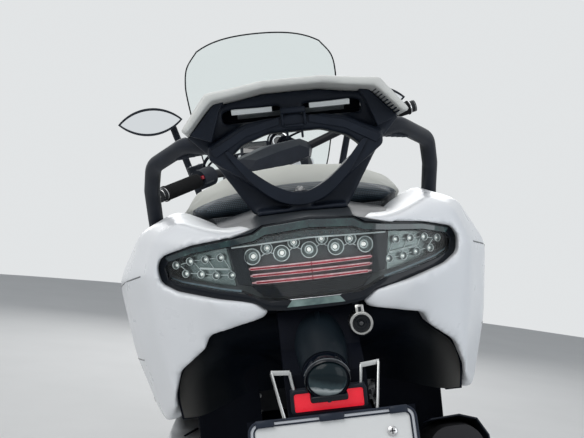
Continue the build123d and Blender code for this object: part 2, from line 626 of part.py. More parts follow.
def inset_half(half, wall, drop):
    """Half outline drawn in by a wall, with its open underside lowered."""
    top = [(max(x - wall, 0), z - wall) for x, z in half[:2]]
    sides = [(x - wall, z) for x, z in half[2:-2]]
    foot = [(half[-2][0] - wall, half[-2][1] - drop), (0, half[-1][1] - drop)]
    return top + sides + foot


def cowl_hollow():
    """The room inside the nose, open below and behind."""
    ends = {cowl_stations[0][0]: -20.0, cowl_stations[-1][0]: -COWL_WALL}
    return along_y([(y + ends.get(y, 0.0), mirrored(inset_half(half, COWL_WALL, 120.0)))
                    for y, half in cowl_stations], SPLASH_Y)


cowl_outer = along_y([(y, mirrored(half)) for y, half in cowl_stations], SPLASH_Y)
cowl_shell = cowl_outer - cowl_hollow()
stem_slot = rod((0, stem_y(820), 820), (0, stem_y(940), 940), 46)
lamp_zone = both(rear_slab(lamp_zone_half, SPLASH_Y + 188, SPLASH_Y + 458))
nose_cowl = cowl_shell - lamp_zone - stem_slot
headlamps = cowl_shell & lamp_zone

# Leg shield, floor, skirts and tunnel
shield_line = [(-10, 468), (-62, 560), (-90, 700), (-100, 878), (-70.5, 878), (-70.5, 700), (-46, 565),
               (-0.5, 484)]
shield_line = [(SPLASH_Y + y, z) for y, z in shield_line]
shield_half = [(0, 440), (258, 470), (264, 650), (257, 765), (234, 845), (186, 888), (0, 892)]
floor_line = [(618, 332), (618, 352), (SPLASH_Y - 122, 352), (SPLASH_Y - 2, 476), (SPLASH_Y - 2, 448),
              (SPLASH_Y - 112, 332)]
skirt_stations = [
    (606, [(226, 331), (262, 331), (268, 300), (250, 242), (226, 242)]),
    (900, [(236, 331), (282, 331), (286, 300), (262, 230), (236, 230)]),
    (SPLASH_Y - 72, [(236, 331), (284, 340), (290, 306), (266, 236), (236, 236)]),
    (SPLASH_Y + 14, [(214, 470), (262, 498), (268, 430), (256, 350), (214, 350)]),
]
TUNNEL_REAR = 648.0
TUNNEL_L = SPLASH_Y - 78 - TUNNEL_REAR
tunnel_stations = [(TUNNEL_REAR + share * TUNNEL_L, top, flat, side, foot) for share, top, flat, side, foot in
                   ((0.0, 732, 66, 104, 120), (0.217, 640, 60, 92, 110), (0.488, 588, 58, 88, 108),
                    (1.0, 640, 62, 96, 116))]
TUNNEL_FOOT = 352.0
TUNNEL_WALL = 8.0


def tunnel_body(inset):
    faces = []
    for y, top, flat, side, foot in tunnel_stations:
        low = TUNNEL_FOOT if inset == 0 else TUNNEL_FOOT - 20
        half = [(0, top - inset), (flat - inset, top - inset), (side - inset, top - 36), (foot - inset, low),
                (0, low)]
        faces.append((y, mirrored(half)))
    first, last = faces[0], faces[-1]
    if inset:
        faces[0] = (first[0] + inset, first[1])
        faces[-1] = (last[0] + 5, last[1])
    return along_y(faces)


lower_skirts = both(along_y(skirt_stations))
floor_pan = side_slab(floor_line, -258, 258) - lower_skirts - frame_sleeve
belly = block(-236, 236, 652, SPLASH_Y, 238, 246)
splash_outline = [(-214, 240), (214, 240), (214, 470), (216, 600), (-216, 600), (-214, 470)]
splash = rear_slab(splash_outline, SPLASH_Y, SPLASH_Y + SPLASH_T)
leg_shield = side_slab(shield_line, -280, 280)
leg_shield = leg_shield & rear_slab(mirrored(shield_half), SPLASH_Y - 142, SPLASH_Y + 58)
tunnel_outer = tunnel_body(0)
ramp_start, ramp_end = floor_line[2:4]
under_ramp = side_slab([ramp_start, ramp_end, (ramp_end[0], 300), (ramp_start[0], 300)], -200, 200)
tunnel = tunnel_outer - tunnel_body(TUNNEL_WALL) - leg_shield - under_ramp - frame_sleeve
floor_pan = floor_pan - splash - leg_shield - frame_solid
belly_pan = (belly + splash) - lower_skirts - frame_sleeve - leg_shield - cowl_shell
leg_shield = leg_shield - cowl_shell - lower_skirts - frame_sleeve

# Fuel lid on the tunnel
LID_W, LID_T = 84.0, 5.0
LID_L = 0.186 * TUNNEL_L
LID_Y = TUNNEL_REAR + 0.7 * TUNNEL_L
dip_y, dip_z = tunnel_stations[2][:2]
rise_y, rise_z = tunnel_stations[3][:2]
lid_slope = atan2(rise_z - dip_z, rise_y - dip_y)
lid_seat_z = dip_z + (LID_Y - dip_y) * tan(lid_slope)
lid_plane = Plane((0, LID_Y, lid_seat_z), x_dir=(1, 0, 0), z_dir=(0, -sin(lid_slope), cos(lid_slope)))
LID_PIN_R = 4.0
lid_pin = lid_plane * Pos(0, 0, LID_PIN_R + SEAT_GAP)
fuel_lid = lid_plane * Pos(0, -LID_L / 2, SEAT_GAP + LID_T / 2) * Box(LID_W, LID_L, LID_T)
fuel_lid = fillet(fuel_lid.edges().filter_by(lambda e: abs(e.length - LID_T) < 0.1), 14)
fuel_lid = fuel_lid + lid_pin * Rot(0, 90, 0) * Cylinder(LID_PIN_R, LID_W - 34)

# Side covers under the rider's seat
cover_stations = [
    (431, [(190, 762), (194, 782), (206, 788), (242, 764), (282, 720), (285, 670), (264, 560), (240, 560),
           (232, 670)]),
    (556, [(150, 742), (156, 757), (176, 764), (218, 742), (264, 690), (276, 620), (262, 480), (238, 480),
           (222, 650)]),
    (652, [(108, 722), (118, 736), (132, 740), (170, 720), (216, 670), (238, 600), (246, 353), (196, 353),
           (170, 640)]),
    (720, [(84, 664), (92, 672), (98, 668), (120, 640), (140, 600), (152, 540), (160, 353), (120, 353),
           (104, 560)]),
]
side_covers = both(along_y(cover_stations)) - tunnel_outer - bin_outer - frame_sleeve - floor_pan
side_covers = side_covers - engine_block - frame_solid

# Instruments, screen and mirrors
cluster_stations = [
    (20, [(0, 962), (112, 950), (126, 920), (126, 890), (0, 890)]),
    (88, [(0, 1046), (118, 1030), (136, 960), (136, 890), (0, 890)]),
    (182, [(0, 1004), (92, 990), (112, 940), (112, 890), (0, 890)]),
]
cluster = along_y([(y, mirrored(half)) for y, half in cluster_stations], SPLASH_Y) - cowl_outer
SCREEN_BASE = Vector(0, SPLASH_Y + 264, 924)
SCREEN_UP = Vector(0, -350, 407).normalized()
SCREEN_OUT = Vector(0, 407, 350).normalized()
screen_half = [(0, -30), (150, -30), (184, 150), (206, 400), (208, 452), (196, 500), (160, 540), (120, 553),
               (0, 556)]


def windscreen():
    """Bent clear sheet, cut to its outline and seated on the cowl."""
    face_plane = Plane(SCREEN_BASE, x_dir=(1, 0, 0), z_dir=SCREEN_OUT * -1)
    outline = make_face(face_plane * Polyline(*mirrored(screen_half), close=True))
    prism = extrude(outline, amount=120, dir=tuple(SCREEN_OUT * -1))
    centre = SCREEN_BASE - SCREEN_OUT * SCREEN_BEND_R - SCREEN_UP * 100
    ring = Solid.make_cylinder(SCREEN_BEND_R, 800, Plane(centre, z_dir=SCREEN_UP))
    ring = ring - Solid.make_cylinder(SCREEN_BEND_R - SCREEN_T, 800, Plane(centre, z_dir=SCREEN_UP))
    return (prism & ring) - cowl_outer - cluster


screen = windscreen()
MIRROR_X, MIRROR_Z = 325.0, 1149.0
MIRROR_Y = SPLASH_Y + 80
MIRROR_W, MIRROR_H = 184.0, 78.0
GLASS_W, GLASS_H, GLASS_T = 172.0, 66.0, 3.0


def eye(y, width, height):
    """Eye-shaped face across Y."""
    arcs = [ThreePointArc((-width / 2, 0), (0, height / 2), (width / 2, 0)),
            ThreePointArc((width / 2, 0), (0, -height / 2), (-width / 2, 0))]
    plane = Plane((MIRROR_X, y, MIRROR_Z), x_dir=(1, 0, 0), z_dir=(0, -1, 0))
    return plane * make_face(arcs)


mirror_body = loft([eye(MIRROR_Y, MIRROR_W, MIRROR_H), eye(MIRROR_Y + 34, MIRROR_W * 0.9, MIRROR_H * 0.86),
                    eye(MIRROR_Y + 58, MIRROR_W * 0.55, MIRROR_H * 0.5)], ruled=True)
mirror_glass = extrude(eye(MIRROR_Y, GLASS_W, GLASS_H), amount=GLASS_T, dir=(0, 1, 0))
mirror_arm = pipe([(196, MIRROR_Y + 78, 880), (232, MIRROR_Y + 70, 1010), (268, MIRROR_Y + 34, MIRROR_Z - 4)],
                  10, [60])
mirrors = both(mirror_body + mirror_arm - mirror_glass) - cowl_outer
mirror_glass = both(mirror_glass)

# Seat: pan, textured side band and the padded top
seat_stations = [
    (-72, 150, 26, 44, 50), (-10, 176, 30, 66, 82), (40, 184, 30, 84, 108), (150, 184, 34, 84, 104),
    (236, 178, 32, 78, 100), (282, 172, 30, 46, 62), (330, 168, 26, 30, 36), (450, 166, 26, 34, 34),
    (560, 148, 26, 40, 44), (628, 112, 22, 38, 44), (SEAT_FRONT_Y, 78, 16, 24, 28),
]
PAN_T = 8.0


def seat_layer(kind):
    """The seat's pan, band or cushion, all along its length."""
    faces = []
    for y, half, band, shoulder, crest in seat_stations:
        base = seat_floor(y)
        if kind == "pan":
            outline = [(0, base + PAN_T), (half - 30, base + PAN_T), (half - 30, base), (0, base)]
        elif kind == "band":
            outline = [(0, base + band), (half, base + band), (half - 4, base + PAN_T + 2),
                       (half - 26, base + PAN_T), (0, base + PAN_T)]
        else:
            outline = [(0, base + crest), (half * 0.5, base + crest - (crest - shoulder) * 0.3),
                       (half * 0.82, base + shoulder - (shoulder - band) * 0.12),
                       (half - 2, base + band + (shoulder - band) * 0.4), (half, base + band), (0, base + band)]
        faces.append((y, mirrored(outline)))
    return along_y(faces)


panel_lift = tail_panels + tail_panels.translate((0, 0, MOVE))
seat_pan = seat_layer("pan") - panel_lift
seat_band = seat_layer("band") - panel_lift
seat_cushion = seat_layer("cushion") - panel_lift
HINGE_Y, HINGE_Z = SEAT_FRONT_Y + 10, SEAT_FRONT_Z + 4
HINGE_R = 5.0
seat_pan = seat_pan + block(-40, 40, SEAT_FRONT_Y - 20, HINGE_Y - 2, HINGE_Z - 3, HINGE_Z + 3)
seat_pan = seat_pan + rod((-40, HINGE_Y, HINGE_Z), (40, HINGE_Y, HINGE_Z), HINGE_R + 4)
seat_pan = seat_pan - rod((-60, HINGE_Y, HINGE_Z), (60, HINGE_Y, HINGE_Z), HINGE_R + RUN)
hinge_pin = rod((-56, HINGE_Y, HINGE_Z), (56, HINGE_Y, HINGE_Z), HINGE_R)
hinge_ears = both(block(44, 54, HINGE_Y - 8, HINGE_Y + 8, tunnel_stations[0][1] - 30, HINGE_Z + 6))
tunnel = tunnel + (hinge_pin + hinge_ears - tunnel_outer)

# Standing pose

def lowest_touch(centre, axle, radius, width):
    """Height of a leaning tyre's lowest point above the ground."""
    crown = crown_points(radius, min(width / 2, CROWN_R * 0.96))
    return centre.Z - max(r * sqrt(1 - axle.Z ** 2) + abs(x * axle.Z) for x, r in crown)


def turned(vector, axis, angle):
    """A vector turned about an axis through the origin."""
    return Vertex(*vector).rotate(Axis((0, 0, 0), tuple(axis)), angle).center()


def steered_point(point):
    return turned(point - STEER_FOOT, STEER_DIR, STEER_STOP) + STEER_FOOT


Y_AXIS = Vector(0, 1, 0)
front_centre = turned(steered_point(Vector(0, *FRONT_HUB)), Y_AXIS, -LEAN)
front_axle_dir = turned(turned(Vector(1, 0, 0), STEER_DIR, STEER_STOP), Y_AXIS, -LEAN)
rear_centre = turned(Vector(0, *REAR_HUB), Y_AXIS, -LEAN)
rear_axle_dir = turned(Vector(1, 0, 0), Y_AXIS, -LEAN)
front_low = lowest_touch(front_centre, front_axle_dir, FRONT_R, FRONT_W)
rear_low = lowest_touch(rear_centre, rear_axle_dir, REAR_R, REAR_W)
NOSE_DOWN = degrees(atan2(front_low - rear_low, WHEELBASE))
LIFT = -rear_low


def steer(shape):
    """Turn a piece of the steering with the bars on their left stop."""
    return shape.rotate(STEER_AXIS, STEER_STOP)


def lean(shape):
    """Pitch, lean and lift an upright piece to where it stands on its tyres."""
    return shape.rotate(Axis.X, -NOSE_DOWN).rotate(Axis.Y, -LEAN).translate((0, 0, LIFT))


def unlean(shape):
    """The upright place of a piece drawn standing on the ground."""
    return shape.translate((0, 0, -LIFT)).rotate(Axis.Y, LEAN).rotate(Axis.X, NOSE_DOWN)


# Stands
STAND_EYE_R = 17.0
STAND_LEG_R = 11.0
FOOT_R = 24.0
FOOT_T = 6.0
FOOT_AT = (-262.0, 640.0)


def side_stand():
    foot_bike = Vertex(FOOT_AT[0], FOOT_AT[1], -FOOT_AT[0] * tan(radians(LEAN)))
    foot = lean(foot_bike).center()
    pad = unlean(Pos(foot.X, foot.Y, FOOT_T / 2) * Cylinder(FOOT_R, FOOT_T))
    ankle = unlean(Vertex(foot.X, foot.Y, FOOT_T)).center()
    eye_ring = rod(tuple(PIVOT - PIVOT_AXIS * 6.5), tuple(PIVOT + PIVOT_AXIS * 6.5), STAND_EYE_R)
    leg = rod(tuple(PIVOT), tuple(ankle), STAND_LEG_R)
    trim = unlean(Pos(foot.X, foot.Y, -50) * Cylinder(80, 100))
    bore = rod(tuple(PIVOT - PIVOT_AXIS * 40), tuple(PIVOT + PIVOT_AXIS * 40), PIVOT_PIN_R + RUN)
    return eye_ring + leg + pad - trim - bore


def centre_stand():
    y, z = CENTRE_PIVOT
    leg = pipe([(100, y, z), (108, y - 70, z - 4), (132, y - 205, z - 22)], 11, [60])
    foot = rod((122, y - 205, z - 22), (158, y - 205, z - 22), 13)
    eye_ring = axle_disc(y, z, 17, 92, 110)
    bar = rod((-106, y - 40, z - 2), (106, y - 40, z - 2), 9)
    return both(leg + foot + eye_ring) + bar - axle_disc(y, z, 8 + RUN, -200, 200)


stand = side_stand()
mid_stand = centre_stand()
y, z = CENTRE_PIVOT
stand_pin = axle_disc(y, z, 8, -114, 114) + both(block(66, 84, y - 12, y + 14, z - 12, ENGINE["z0"] + 8))
engine_block = engine_block + stand_pin

# Every piece by name
upright = {
    "main_frame": frame_solid, "engine_block": engine_block, "belt_case": belt_case, "rear_arm": rear_arm,
    "air_box": air_box, "exhaust": exhaust, "rear_shocks": shocks, "under_seat_bin": seat_bin,
    "tail_panels": tail_panels, "tail_under_cover": under_cover, "tail_top_cover": tail_top,
    "tail_lamp_bezel": lamp_bezel, "tail_lamp_core": lamp_core, "tail_lamp_bars": brake_bars,
    "tail_lamp_lens": lamp_lens, "plate_hanger": plate_hanger, "number_plate": number_plate,
    "reflector": reflector, "rear_camera": rear_camera, "rack_frame": rack_frame, "rack_cover": rack_cover,
    "grab_rails": grab_rails, "side_covers": side_covers, "floor_pan": floor_pan, "lower_skirts": lower_skirts,
    "belly_pan": belly_pan, "centre_tunnel": tunnel, "leg_shield": leg_shield, "nose_cowl": nose_cowl,
    "headlamps": headlamps, "instrument_cluster": cluster, "windscreen": screen, "mirrors": mirrors,
    "mirror_glass": mirror_glass, "fuel_lid": fuel_lid, "seat_pan": seat_pan, "seat_band": seat_band,
    "seat_cushion": seat_cushion, "side_stand": stand, "centre_stand": mid_stand,
    "rear_tyre": rear_tyre, "rear_rim": rear_rim, "rear_disc": rear_disc,
}
steered = {
    "fork": fork_solid + front_calipers, "front_fender": fender, "handlebar": handlebar + bar_weights,
    "grips": grips, "bar_controls": housings + levers, "handlebar_cover": handlebar_cover,
    "front_tyre": front_tyre, "front_rim": front_rim, "front_discs": front_discs,
}
standing = {name: lean(shape) for name, shape in upright.items()}
standing.update({name: lean(steer(shape)) for name, shape in steered.items()})
whole = Compound(children=[Compound(standing[name].wrapped) for name in standing]).bounding_box()
ORIGIN_X, ORIGIN_Y = whole.center().X, whole.center().Y
os.makedirs("parts", exist_ok=True)
for name, shape in standing.items():
    export_step(shape.translate((-ORIGIN_X, -ORIGIN_Y, 0)), f"parts/{name}.step")
print("origin", round(ORIGIN_X, 3), round(ORIGIN_Y, 3), "lift", round(LIFT, 3), "nose down", round(NOSE_DOWN, 4))
print("size", whole.size, "lowest", round(whole.min.Z, 3), "pieces", len(standing))
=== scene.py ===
"""Looks of a maxi scooter that leans on its side stand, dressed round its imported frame.

New pieces are drawn in millimetres in the scooter's own upright frame: X to the rider's
right, Y forward and Z up, from the ground under the rear axle. PLACE leans them with it.
"""
import json
from math import asin, cos, hypot, pi, radians, sin, sqrt

import bmesh
import bpy
from bpy.props import FloatProperty, FloatVectorProperty, IntProperty, PointerProperty
from mathutils import Matrix, Vector


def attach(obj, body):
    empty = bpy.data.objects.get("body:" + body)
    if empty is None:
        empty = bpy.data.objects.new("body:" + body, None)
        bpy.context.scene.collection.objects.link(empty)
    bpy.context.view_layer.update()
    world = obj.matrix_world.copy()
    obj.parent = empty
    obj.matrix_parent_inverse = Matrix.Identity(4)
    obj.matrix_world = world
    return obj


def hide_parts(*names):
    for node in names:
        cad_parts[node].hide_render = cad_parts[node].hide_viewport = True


bl_info = {
    "name": "Maxi scooter looks",
    "version": (1, 0, 0),
    "blender": (4, 5, 0),
    "location": "View3D > Sidebar > Scooter",
    "description": "Builds the lamps, seat, rack, plate, wheels and finishes of a leaning maxi scooter",
    "category": "Object",
}

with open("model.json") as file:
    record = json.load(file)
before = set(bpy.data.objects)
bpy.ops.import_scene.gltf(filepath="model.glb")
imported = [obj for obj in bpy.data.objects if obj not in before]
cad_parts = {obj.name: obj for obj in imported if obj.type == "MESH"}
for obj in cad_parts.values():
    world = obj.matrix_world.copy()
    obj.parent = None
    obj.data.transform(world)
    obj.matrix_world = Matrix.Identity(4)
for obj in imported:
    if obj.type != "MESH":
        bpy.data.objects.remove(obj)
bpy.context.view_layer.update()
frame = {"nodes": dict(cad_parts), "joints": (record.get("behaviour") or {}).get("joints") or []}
NODES = frame["nodes"]
JOINTS = {joint["name"]: joint for joint in frame["joints"]}

# The upright frame, read from the joints
MM = 0.001
SIDES = (1, -1)
RAKE = radians(26.5)
REAR_R = 283.0
REAR_HUB = Vector((0, 0, REAR_R))
FRONT_HUB = Vector((0, 1550.0, 274.5))
STEER_FOOT = Vector((0, 1645.0, 0))
STEER_DIR = Vector((0, -sin(RAKE), cos(RAKE)))


def upright_to_row():
    """Matrix from upright millimetres to the row frame."""
    hub = Vector(JOINTS["rear_wheel_spin"]["pos_m"])
    across = Vector(JOINTS["rear_wheel_spin"]["axis"]).normalized()
    stem = Vector(JOINTS["steering"]["axis"]).normalized()
    drawn = Matrix([Vector((1, 0, 0)), STEER_DIR, Vector((1, 0, 0)).cross(STEER_DIR)]).transposed()
    stored = Matrix([across, stem, across.cross(stem)]).transposed()
    turn = (stored @ drawn.inverted()).to_4x4() @ Matrix.Scale(MM, 4)
    return Matrix.Translation(hub - turn @ REAR_HUB) @ turn


PLACE = upright_to_row()
UPRIGHT = PLACE.inverted()
STOP = radians(-JOINTS["steering"]["range_deg"][0] / 2)
TURNED = Matrix.Translation(STEER_FOOT) @ Matrix.Rotation(STOP, 4, STEER_DIR) @ Matrix.Translation(-STEER_FOOT)
STEERED = PLACE @ TURNED
BACK = Matrix.Rotation(pi / 2, 4, "X")
AHEAD = Matrix.Rotation(-pi / 2, 4, "X")
SIDEWAYS = Matrix.Rotation(pi / 2, 4, "Y")
LEFTWARDS = Matrix.Rotation(-pi / 2, 4, "Y")
LEAN_ANGLE = radians(12.0)  # of patterns that have a direction

class ScooterColours(bpy.types.PropertyGroup):
    """Colours of the scooter's finishes."""
    white: FloatVectorProperty(name="Body white", description="Pearl white of the painted panels", size=3,
                               subtype="COLOR", default=(0.80, 0.82, 0.85), min=0, max=1)
    black: FloatVectorProperty(name="Trim black", description="Satin black of the moulded trim", size=3,
                               subtype="COLOR", default=(0.012, 0.015, 0.022), min=0, max=1)
    roof: FloatVectorProperty(name="Rack grey", description="Light grey of the rack's roof", size=3,
                              subtype="COLOR", default=(0.66, 0.67, 0.65), min=0, max=1)
    seat: FloatVectorProperty(name="Seat grey", description="Warm light grey of the seat's top cover", size=3,
                              subtype="COLOR", default=(0.52, 0.53, 0.48), min=0, max=1)
    lamp_red: FloatVectorProperty(name="Lamp red", description="Red of the brake bars and the reflector", size=3,
                                  subtype="COLOR", default=(0.75, 0.012, 0.03), min=0, max=1)


class ScooterSizes(bpy.types.PropertyGroup):
    """Sizes of the pieces that dress the frame."""
    cup_r: FloatProperty(name="Lamp cup radius", description="Radius of the large lamp cups", default=10.5,
                         min=6, max=14, unit="NONE")
    small_cup_r: FloatProperty(name="Small cup radius", description="Radius of the outer lamp cups", default=5.0,
                               min=3, max=8)
    tread_depth: FloatProperty(name="Tread depth", description="Depth of the tyre grooves in millimetres",
                               default=3.0, min=1, max=6)
    tread_steps: IntProperty(name="Tread steps", description="Steps of the tread round a tyre", default=120,
                             min=60, max=160)
    pad_voxel: FloatProperty(name="Seat voxel", description="Mesh size of the padded seat in millimetres",
                             default=6.0, min=4, max=12)
    pad_swell: FloatProperty(name="Seat swell", description="How far the padding may swell in millimetres",
                             default=7.0, min=0, max=16)


# Finishes

FINISH = {}
TWILL_PITCH = 0.0052
# Height of the plate lamp lens, about which its painted reflection band is placed
SNOUT_Z = (PLACE @ Vector((0, -350, 684))).z


def principled(name, colour, rough, metal=0.0, **sockets):
    """Node tree and shader of a new material, with its fixed values on the shader's own sockets."""
    material = bpy.data.materials.new(name)
    material.use_nodes = True
    tree = material.node_tree
    shader = tree.nodes["Principled BSDF"]
    shader.inputs["Base Color"].default_value = (*colour, 1)
    shader.inputs["Roughness"].default_value = rough
    shader.inputs["Metallic"].default_value = metal
    for socket, value in sockets.items():
        shader.inputs[socket.replace("_", " ")].default_value = value
    FINISH[name] = material
    return tree, shader


def node(tree, kind, **values):
    """A node with its inputs and settings set by name, or its inputs by number as in_N."""
    made = tree.nodes.new(kind)
    for key, value in values.items():
        if key.startswith("in_"):
            made.inputs[int(key[3:])].default_value = value
        elif hasattr(made, key):
            setattr(made, key, value)
        else:
            made.inputs[key.replace("_", " ")].default_value = value
    return made


def own_place(tree, upright=False):
    """Object coordinates, turned back upright where a pattern has a direction."""
    where = tree.nodes.new("ShaderNodeTexCoord")
    if not upright:
        return where.outputs["Object"]
    turn = node(tree, "ShaderNodeMapping", vector_type="POINT")
    turn.inputs["Rotation"].default_value = (0, LEAN_ANGLE, 0)
    tree.links.new(where.outputs["Object"], turn.inputs["Vector"])
    return turn.outputs["Vector"]


def noise(tree, scale, detail=3.0, roughness=0.5):
    """Noise over the piece's own coordinates."""
    made = node(tree, "ShaderNodeTexNoise", Scale=scale, Detail=detail, Roughness=roughness)
    tree.links.new(own_place(tree), made.inputs["Vector"])
    return made.outputs["Fac"]


def spread(tree, factor, low, high, start=0.3, end=0.7):
    """Noise spread between two values."""
    made = node(tree, "ShaderNodeMapRange")
    for name, value in (("From Min", start), ("From Max", end), ("To Min", low), ("To Max", high)):
        made.inputs[name].default_value = value
    tree.links.new(factor, made.inputs["Value"])
    return made.outputs["Result"]


def tint(tree, shader, factor, colours):
    """Colour ramp from (place, colour) pairs onto the shader's colour."""
    ramp = tree.nodes.new("ShaderNodeValToRGB")
    stops = ramp.color_ramp.elements
    while len(stops) < len(colours):
        stops.new(0.5)
    for stop, (place, colour) in zip(stops, colours):
        stop.position = place
        stop.color = (*colour, 1)
    tree.links.new(factor, ramp.inputs["Fac"])
    tree.links.new(ramp.outputs["Color"], shader.inputs["Base Color"])


def bump(tree, shader, height, distance, strength=1.0):
    """Surface relief, with its distance in millimetres."""
    made = node(tree, "ShaderNodeBump", Strength=strength, Distance=distance * MM)
    tree.links.new(height, made.inputs["Height"])
    tree.links.new(made.outputs["Normal"], shader.inputs["Normal"])


def maths(tree, operation, *values):
    """Result of a Math node on numbers and sockets."""
    made = node(tree, "ShaderNodeMath", operation=operation)
    for value, slot in zip(values, made.inputs):
        if isinstance(value, (int, float)):
            slot.default_value = value
        else:
            tree.links.new(value, slot)
    return made.outputs[0]


def sheen(tree, shader, factor, low, high):
    """Roughness spread between two values."""
    tree.links.new(spread(tree, factor, low, high), shader.inputs["Roughness"])


def mixed(tree, factor, first, second, end):
    """Two shaders mixed by a factor onto an end socket."""
    mix = tree.nodes.new("ShaderNodeMixShader")
    for value, slot in zip((factor, first.outputs[0], second.outputs[0]), mix.inputs):
        tree.links.new(value, slot)
    tree.links.new(mix.outputs[0], end.inputs["Surface"])


def shade(colour, factor):
    """A colour made darker or lighter."""
    return tuple(min(1.0, c * factor) for c in colour)


def painted(name, colour, rough=0.3, **sockets):
    """Pearl paint under lacquer, with a faint flake and a little road dust."""
    tree, shader = principled(name, colour, rough, Coat_Weight=0.4, Coat_Roughness=0.2, **sockets)
    dust = noise(tree, 7.0, 5.0)
    tint(tree, shader, dust, [(0.25, shade(colour, 0.96)), (0.6, colour), (0.85, shade(colour, 1.03))])
    sheen(tree, shader, noise(tree, 22.0, 4.0), rough * 0.8, rough * 1.4)
    bump(tree, shader, noise(tree, 900.0, 1.0), 0.02, 0.25)


def moulded(name, colour, rough, grain=1400.0, depth=0.06, wear=1.8, specular=0.16):
    """Grained plastic with uneven sheen and paler scuffs."""
    tree, shader = principled(name, colour, rough, Specular_IOR_Level=specular)
    scuff = noise(tree, 30.0, 8.0, 0.65)
    tint(tree, shader, scuff, [(0.35, colour), (0.6, shade(colour, 1.25)), (0.8, shade(colour, wear))])
    sheen(tree, shader, noise(tree, 14.0, 5.0), rough * 0.85, min(1.0, rough * 1.25))
    bump(tree, shader, noise(tree, grain, 2.0), depth, 0.5)


def glossy(name, colour, rough, coat=0.5, specular=0.5):
    """Smooth lacquered plastic with faint smears."""
    tree, shader = principled(name, colour, rough, Coat_Weight=coat, Coat_Roughness=0.04,
                              Specular_IOR_Level=specular)
    smear = noise(tree, 16.0, 5.0)
    tint(tree, shader, smear, [(0.3, colour), (0.8, shade(colour, 1.5))])
    sheen(tree, shader, smear, rough * 0.7, rough * 1.6)


def cast_metal(name, colour, rough, grain=260.0, depth=0.15):
    """Metal with a cast grain and stains."""
    tree, shader = principled(name, colour, rough, 0.85)
    stain = noise(tree, 18.0, 6.0, 0.6)
    tint(tree, shader, stain, [(0.3, shade(colour, 0.85)), (0.55, colour), (0.8, shade(colour, 1.06))])
    sheen(tree, shader, stain, rough * 0.8, rough * 1.4)
    bump(tree, shader, noise(tree, grain, 4.0), depth, 0.5)


def clear(name, colour, rough, ior):
    """Clear plastic with faint smears."""
    tree, shader = principled(name, colour, rough, IOR=ior, Transmission_Weight=1.0)
    sheen(tree, shader, noise(tree, 20.0, 6.0), rough * 0.5, rough * 2.5)


def weave(tree, shader, colour):
    """Fine twill in two directions, as colour and relief."""
    parts = node(tree, "ShaderNodeSeparateXYZ")
    tree.links.new(own_place(tree, True), parts.inputs["Vector"])
    along = maths(tree, "ADD", parts.outputs[0], parts.outputs[1])
    waves = []
    for way in ("ADD", "SUBTRACT"):
        run = maths(tree, way, along, parts.outputs[2])
        waves.append(maths(tree, "SINE", maths(tree, "MULTIPLY", run, 2 * pi / TWILL_PITCH)))
    level = spread(tree, maths(tree, "MULTIPLY", *waves), 0.0, 1.0, -0.6, 0.6)
    tint(tree, shader, level, [(0.0, shade(colour, 0.4)), (0.55, colour), (1.0, shade(colour, 3.6))])
    bump(tree, shader, level, 0.3, 0.6)


def seat_skin(name, colour, weave_colour):
    """Light grained vinyl on top and dark twill below, parted where the piece's own height mark is nil."""
    tree, shader = principled(name, colour, 0.52, Sheen_Weight=0.12)
    pebble = node(tree, "ShaderNodeTexVoronoi", Scale=520.0)
    tree.links.new(own_place(tree), pebble.inputs["Vector"])
    tint(tree, shader, noise(tree, 9.0, 6.0, 0.6),
         [(0.25, shade(colour, 0.93)), (0.5, colour), (0.8, shade(colour, 1.04))])
    bump(tree, shader, pebble.outputs["Distance"], 0.18, 0.5)
    band = tree.nodes.new("ShaderNodeBsdfPrincipled")
    band.inputs["Roughness"].default_value = 0.4
    weave(tree, band, weave_colour)
    mark = node(tree, "ShaderNodeAttribute", attribute_name="above_band")
    mixed(tree, spread(tree, mark.outputs["Fac"], 0.0, 1.0, -0.6, 0.6), band, shader, tree.nodes["Material Output"])


def prismatic(name, colour):
    """Moulded reflector with small prisms, and a painted glow in its own colour."""
    tree, shader = principled(name, colour, 0.2, Coat_Weight=0.15, Emission_Color=(*colour, 1),
                              Emission_Strength=0.5)
    prism = node(tree, "ShaderNodeTexVoronoi", Scale=420.0, distance="CHEBYCHEV")
    tree.links.new(own_place(tree, True), prism.inputs["Vector"])
    tint(tree, shader, prism.outputs["Distance"], [(0.1, shade(colour, 1.1)), (0.5, colour), (0.9, shade(colour, 0.7))])
    bump(tree, shader, prism.outputs["Distance"], 0.3, 0.5)


def tyre_rubber(name, colour):
    """Dull rubber, dusty in places."""
    tree, shader = principled(name, colour, 0.82)
    dirt = noise(tree, 26.0, 8.0, 0.6)
    tint(tree, shader, dirt, [(0.3, colour), (0.6, shade(colour, 1.5)), (0.85, (0.055, 0.052, 0.05))])
    bump(tree, shader, noise(tree, 700.0, 3.0), 0.12, 0.5)


def brushed(name, colour, rough, pitch=900.0):
    """Metal with fine turning marks."""
    tree, shader = principled(name, colour, rough, 1.0)
    mark = noise(tree, pitch, 2.0, 0.8)
    sheen(tree, shader, mark, rough * 0.7, rough * 1.5)
    tint(tree, shader, noise(tree, 40.0, 5.0), [(0.3, shade(colour, 0.8)), (0.7, colour)])
    bump(tree, shader, mark, 0.02, 0.4)


def tinted(name, colour, rough, scale, detail, stops, metal=0.0, **sockets):
    """Smooth finish whose colour wanders between its stops."""
    tree, shader = principled(name, colour, rough, metal, **sockets)
    tint(tree, shader, noise(tree, scale, detail), stops)
    return tree, shader


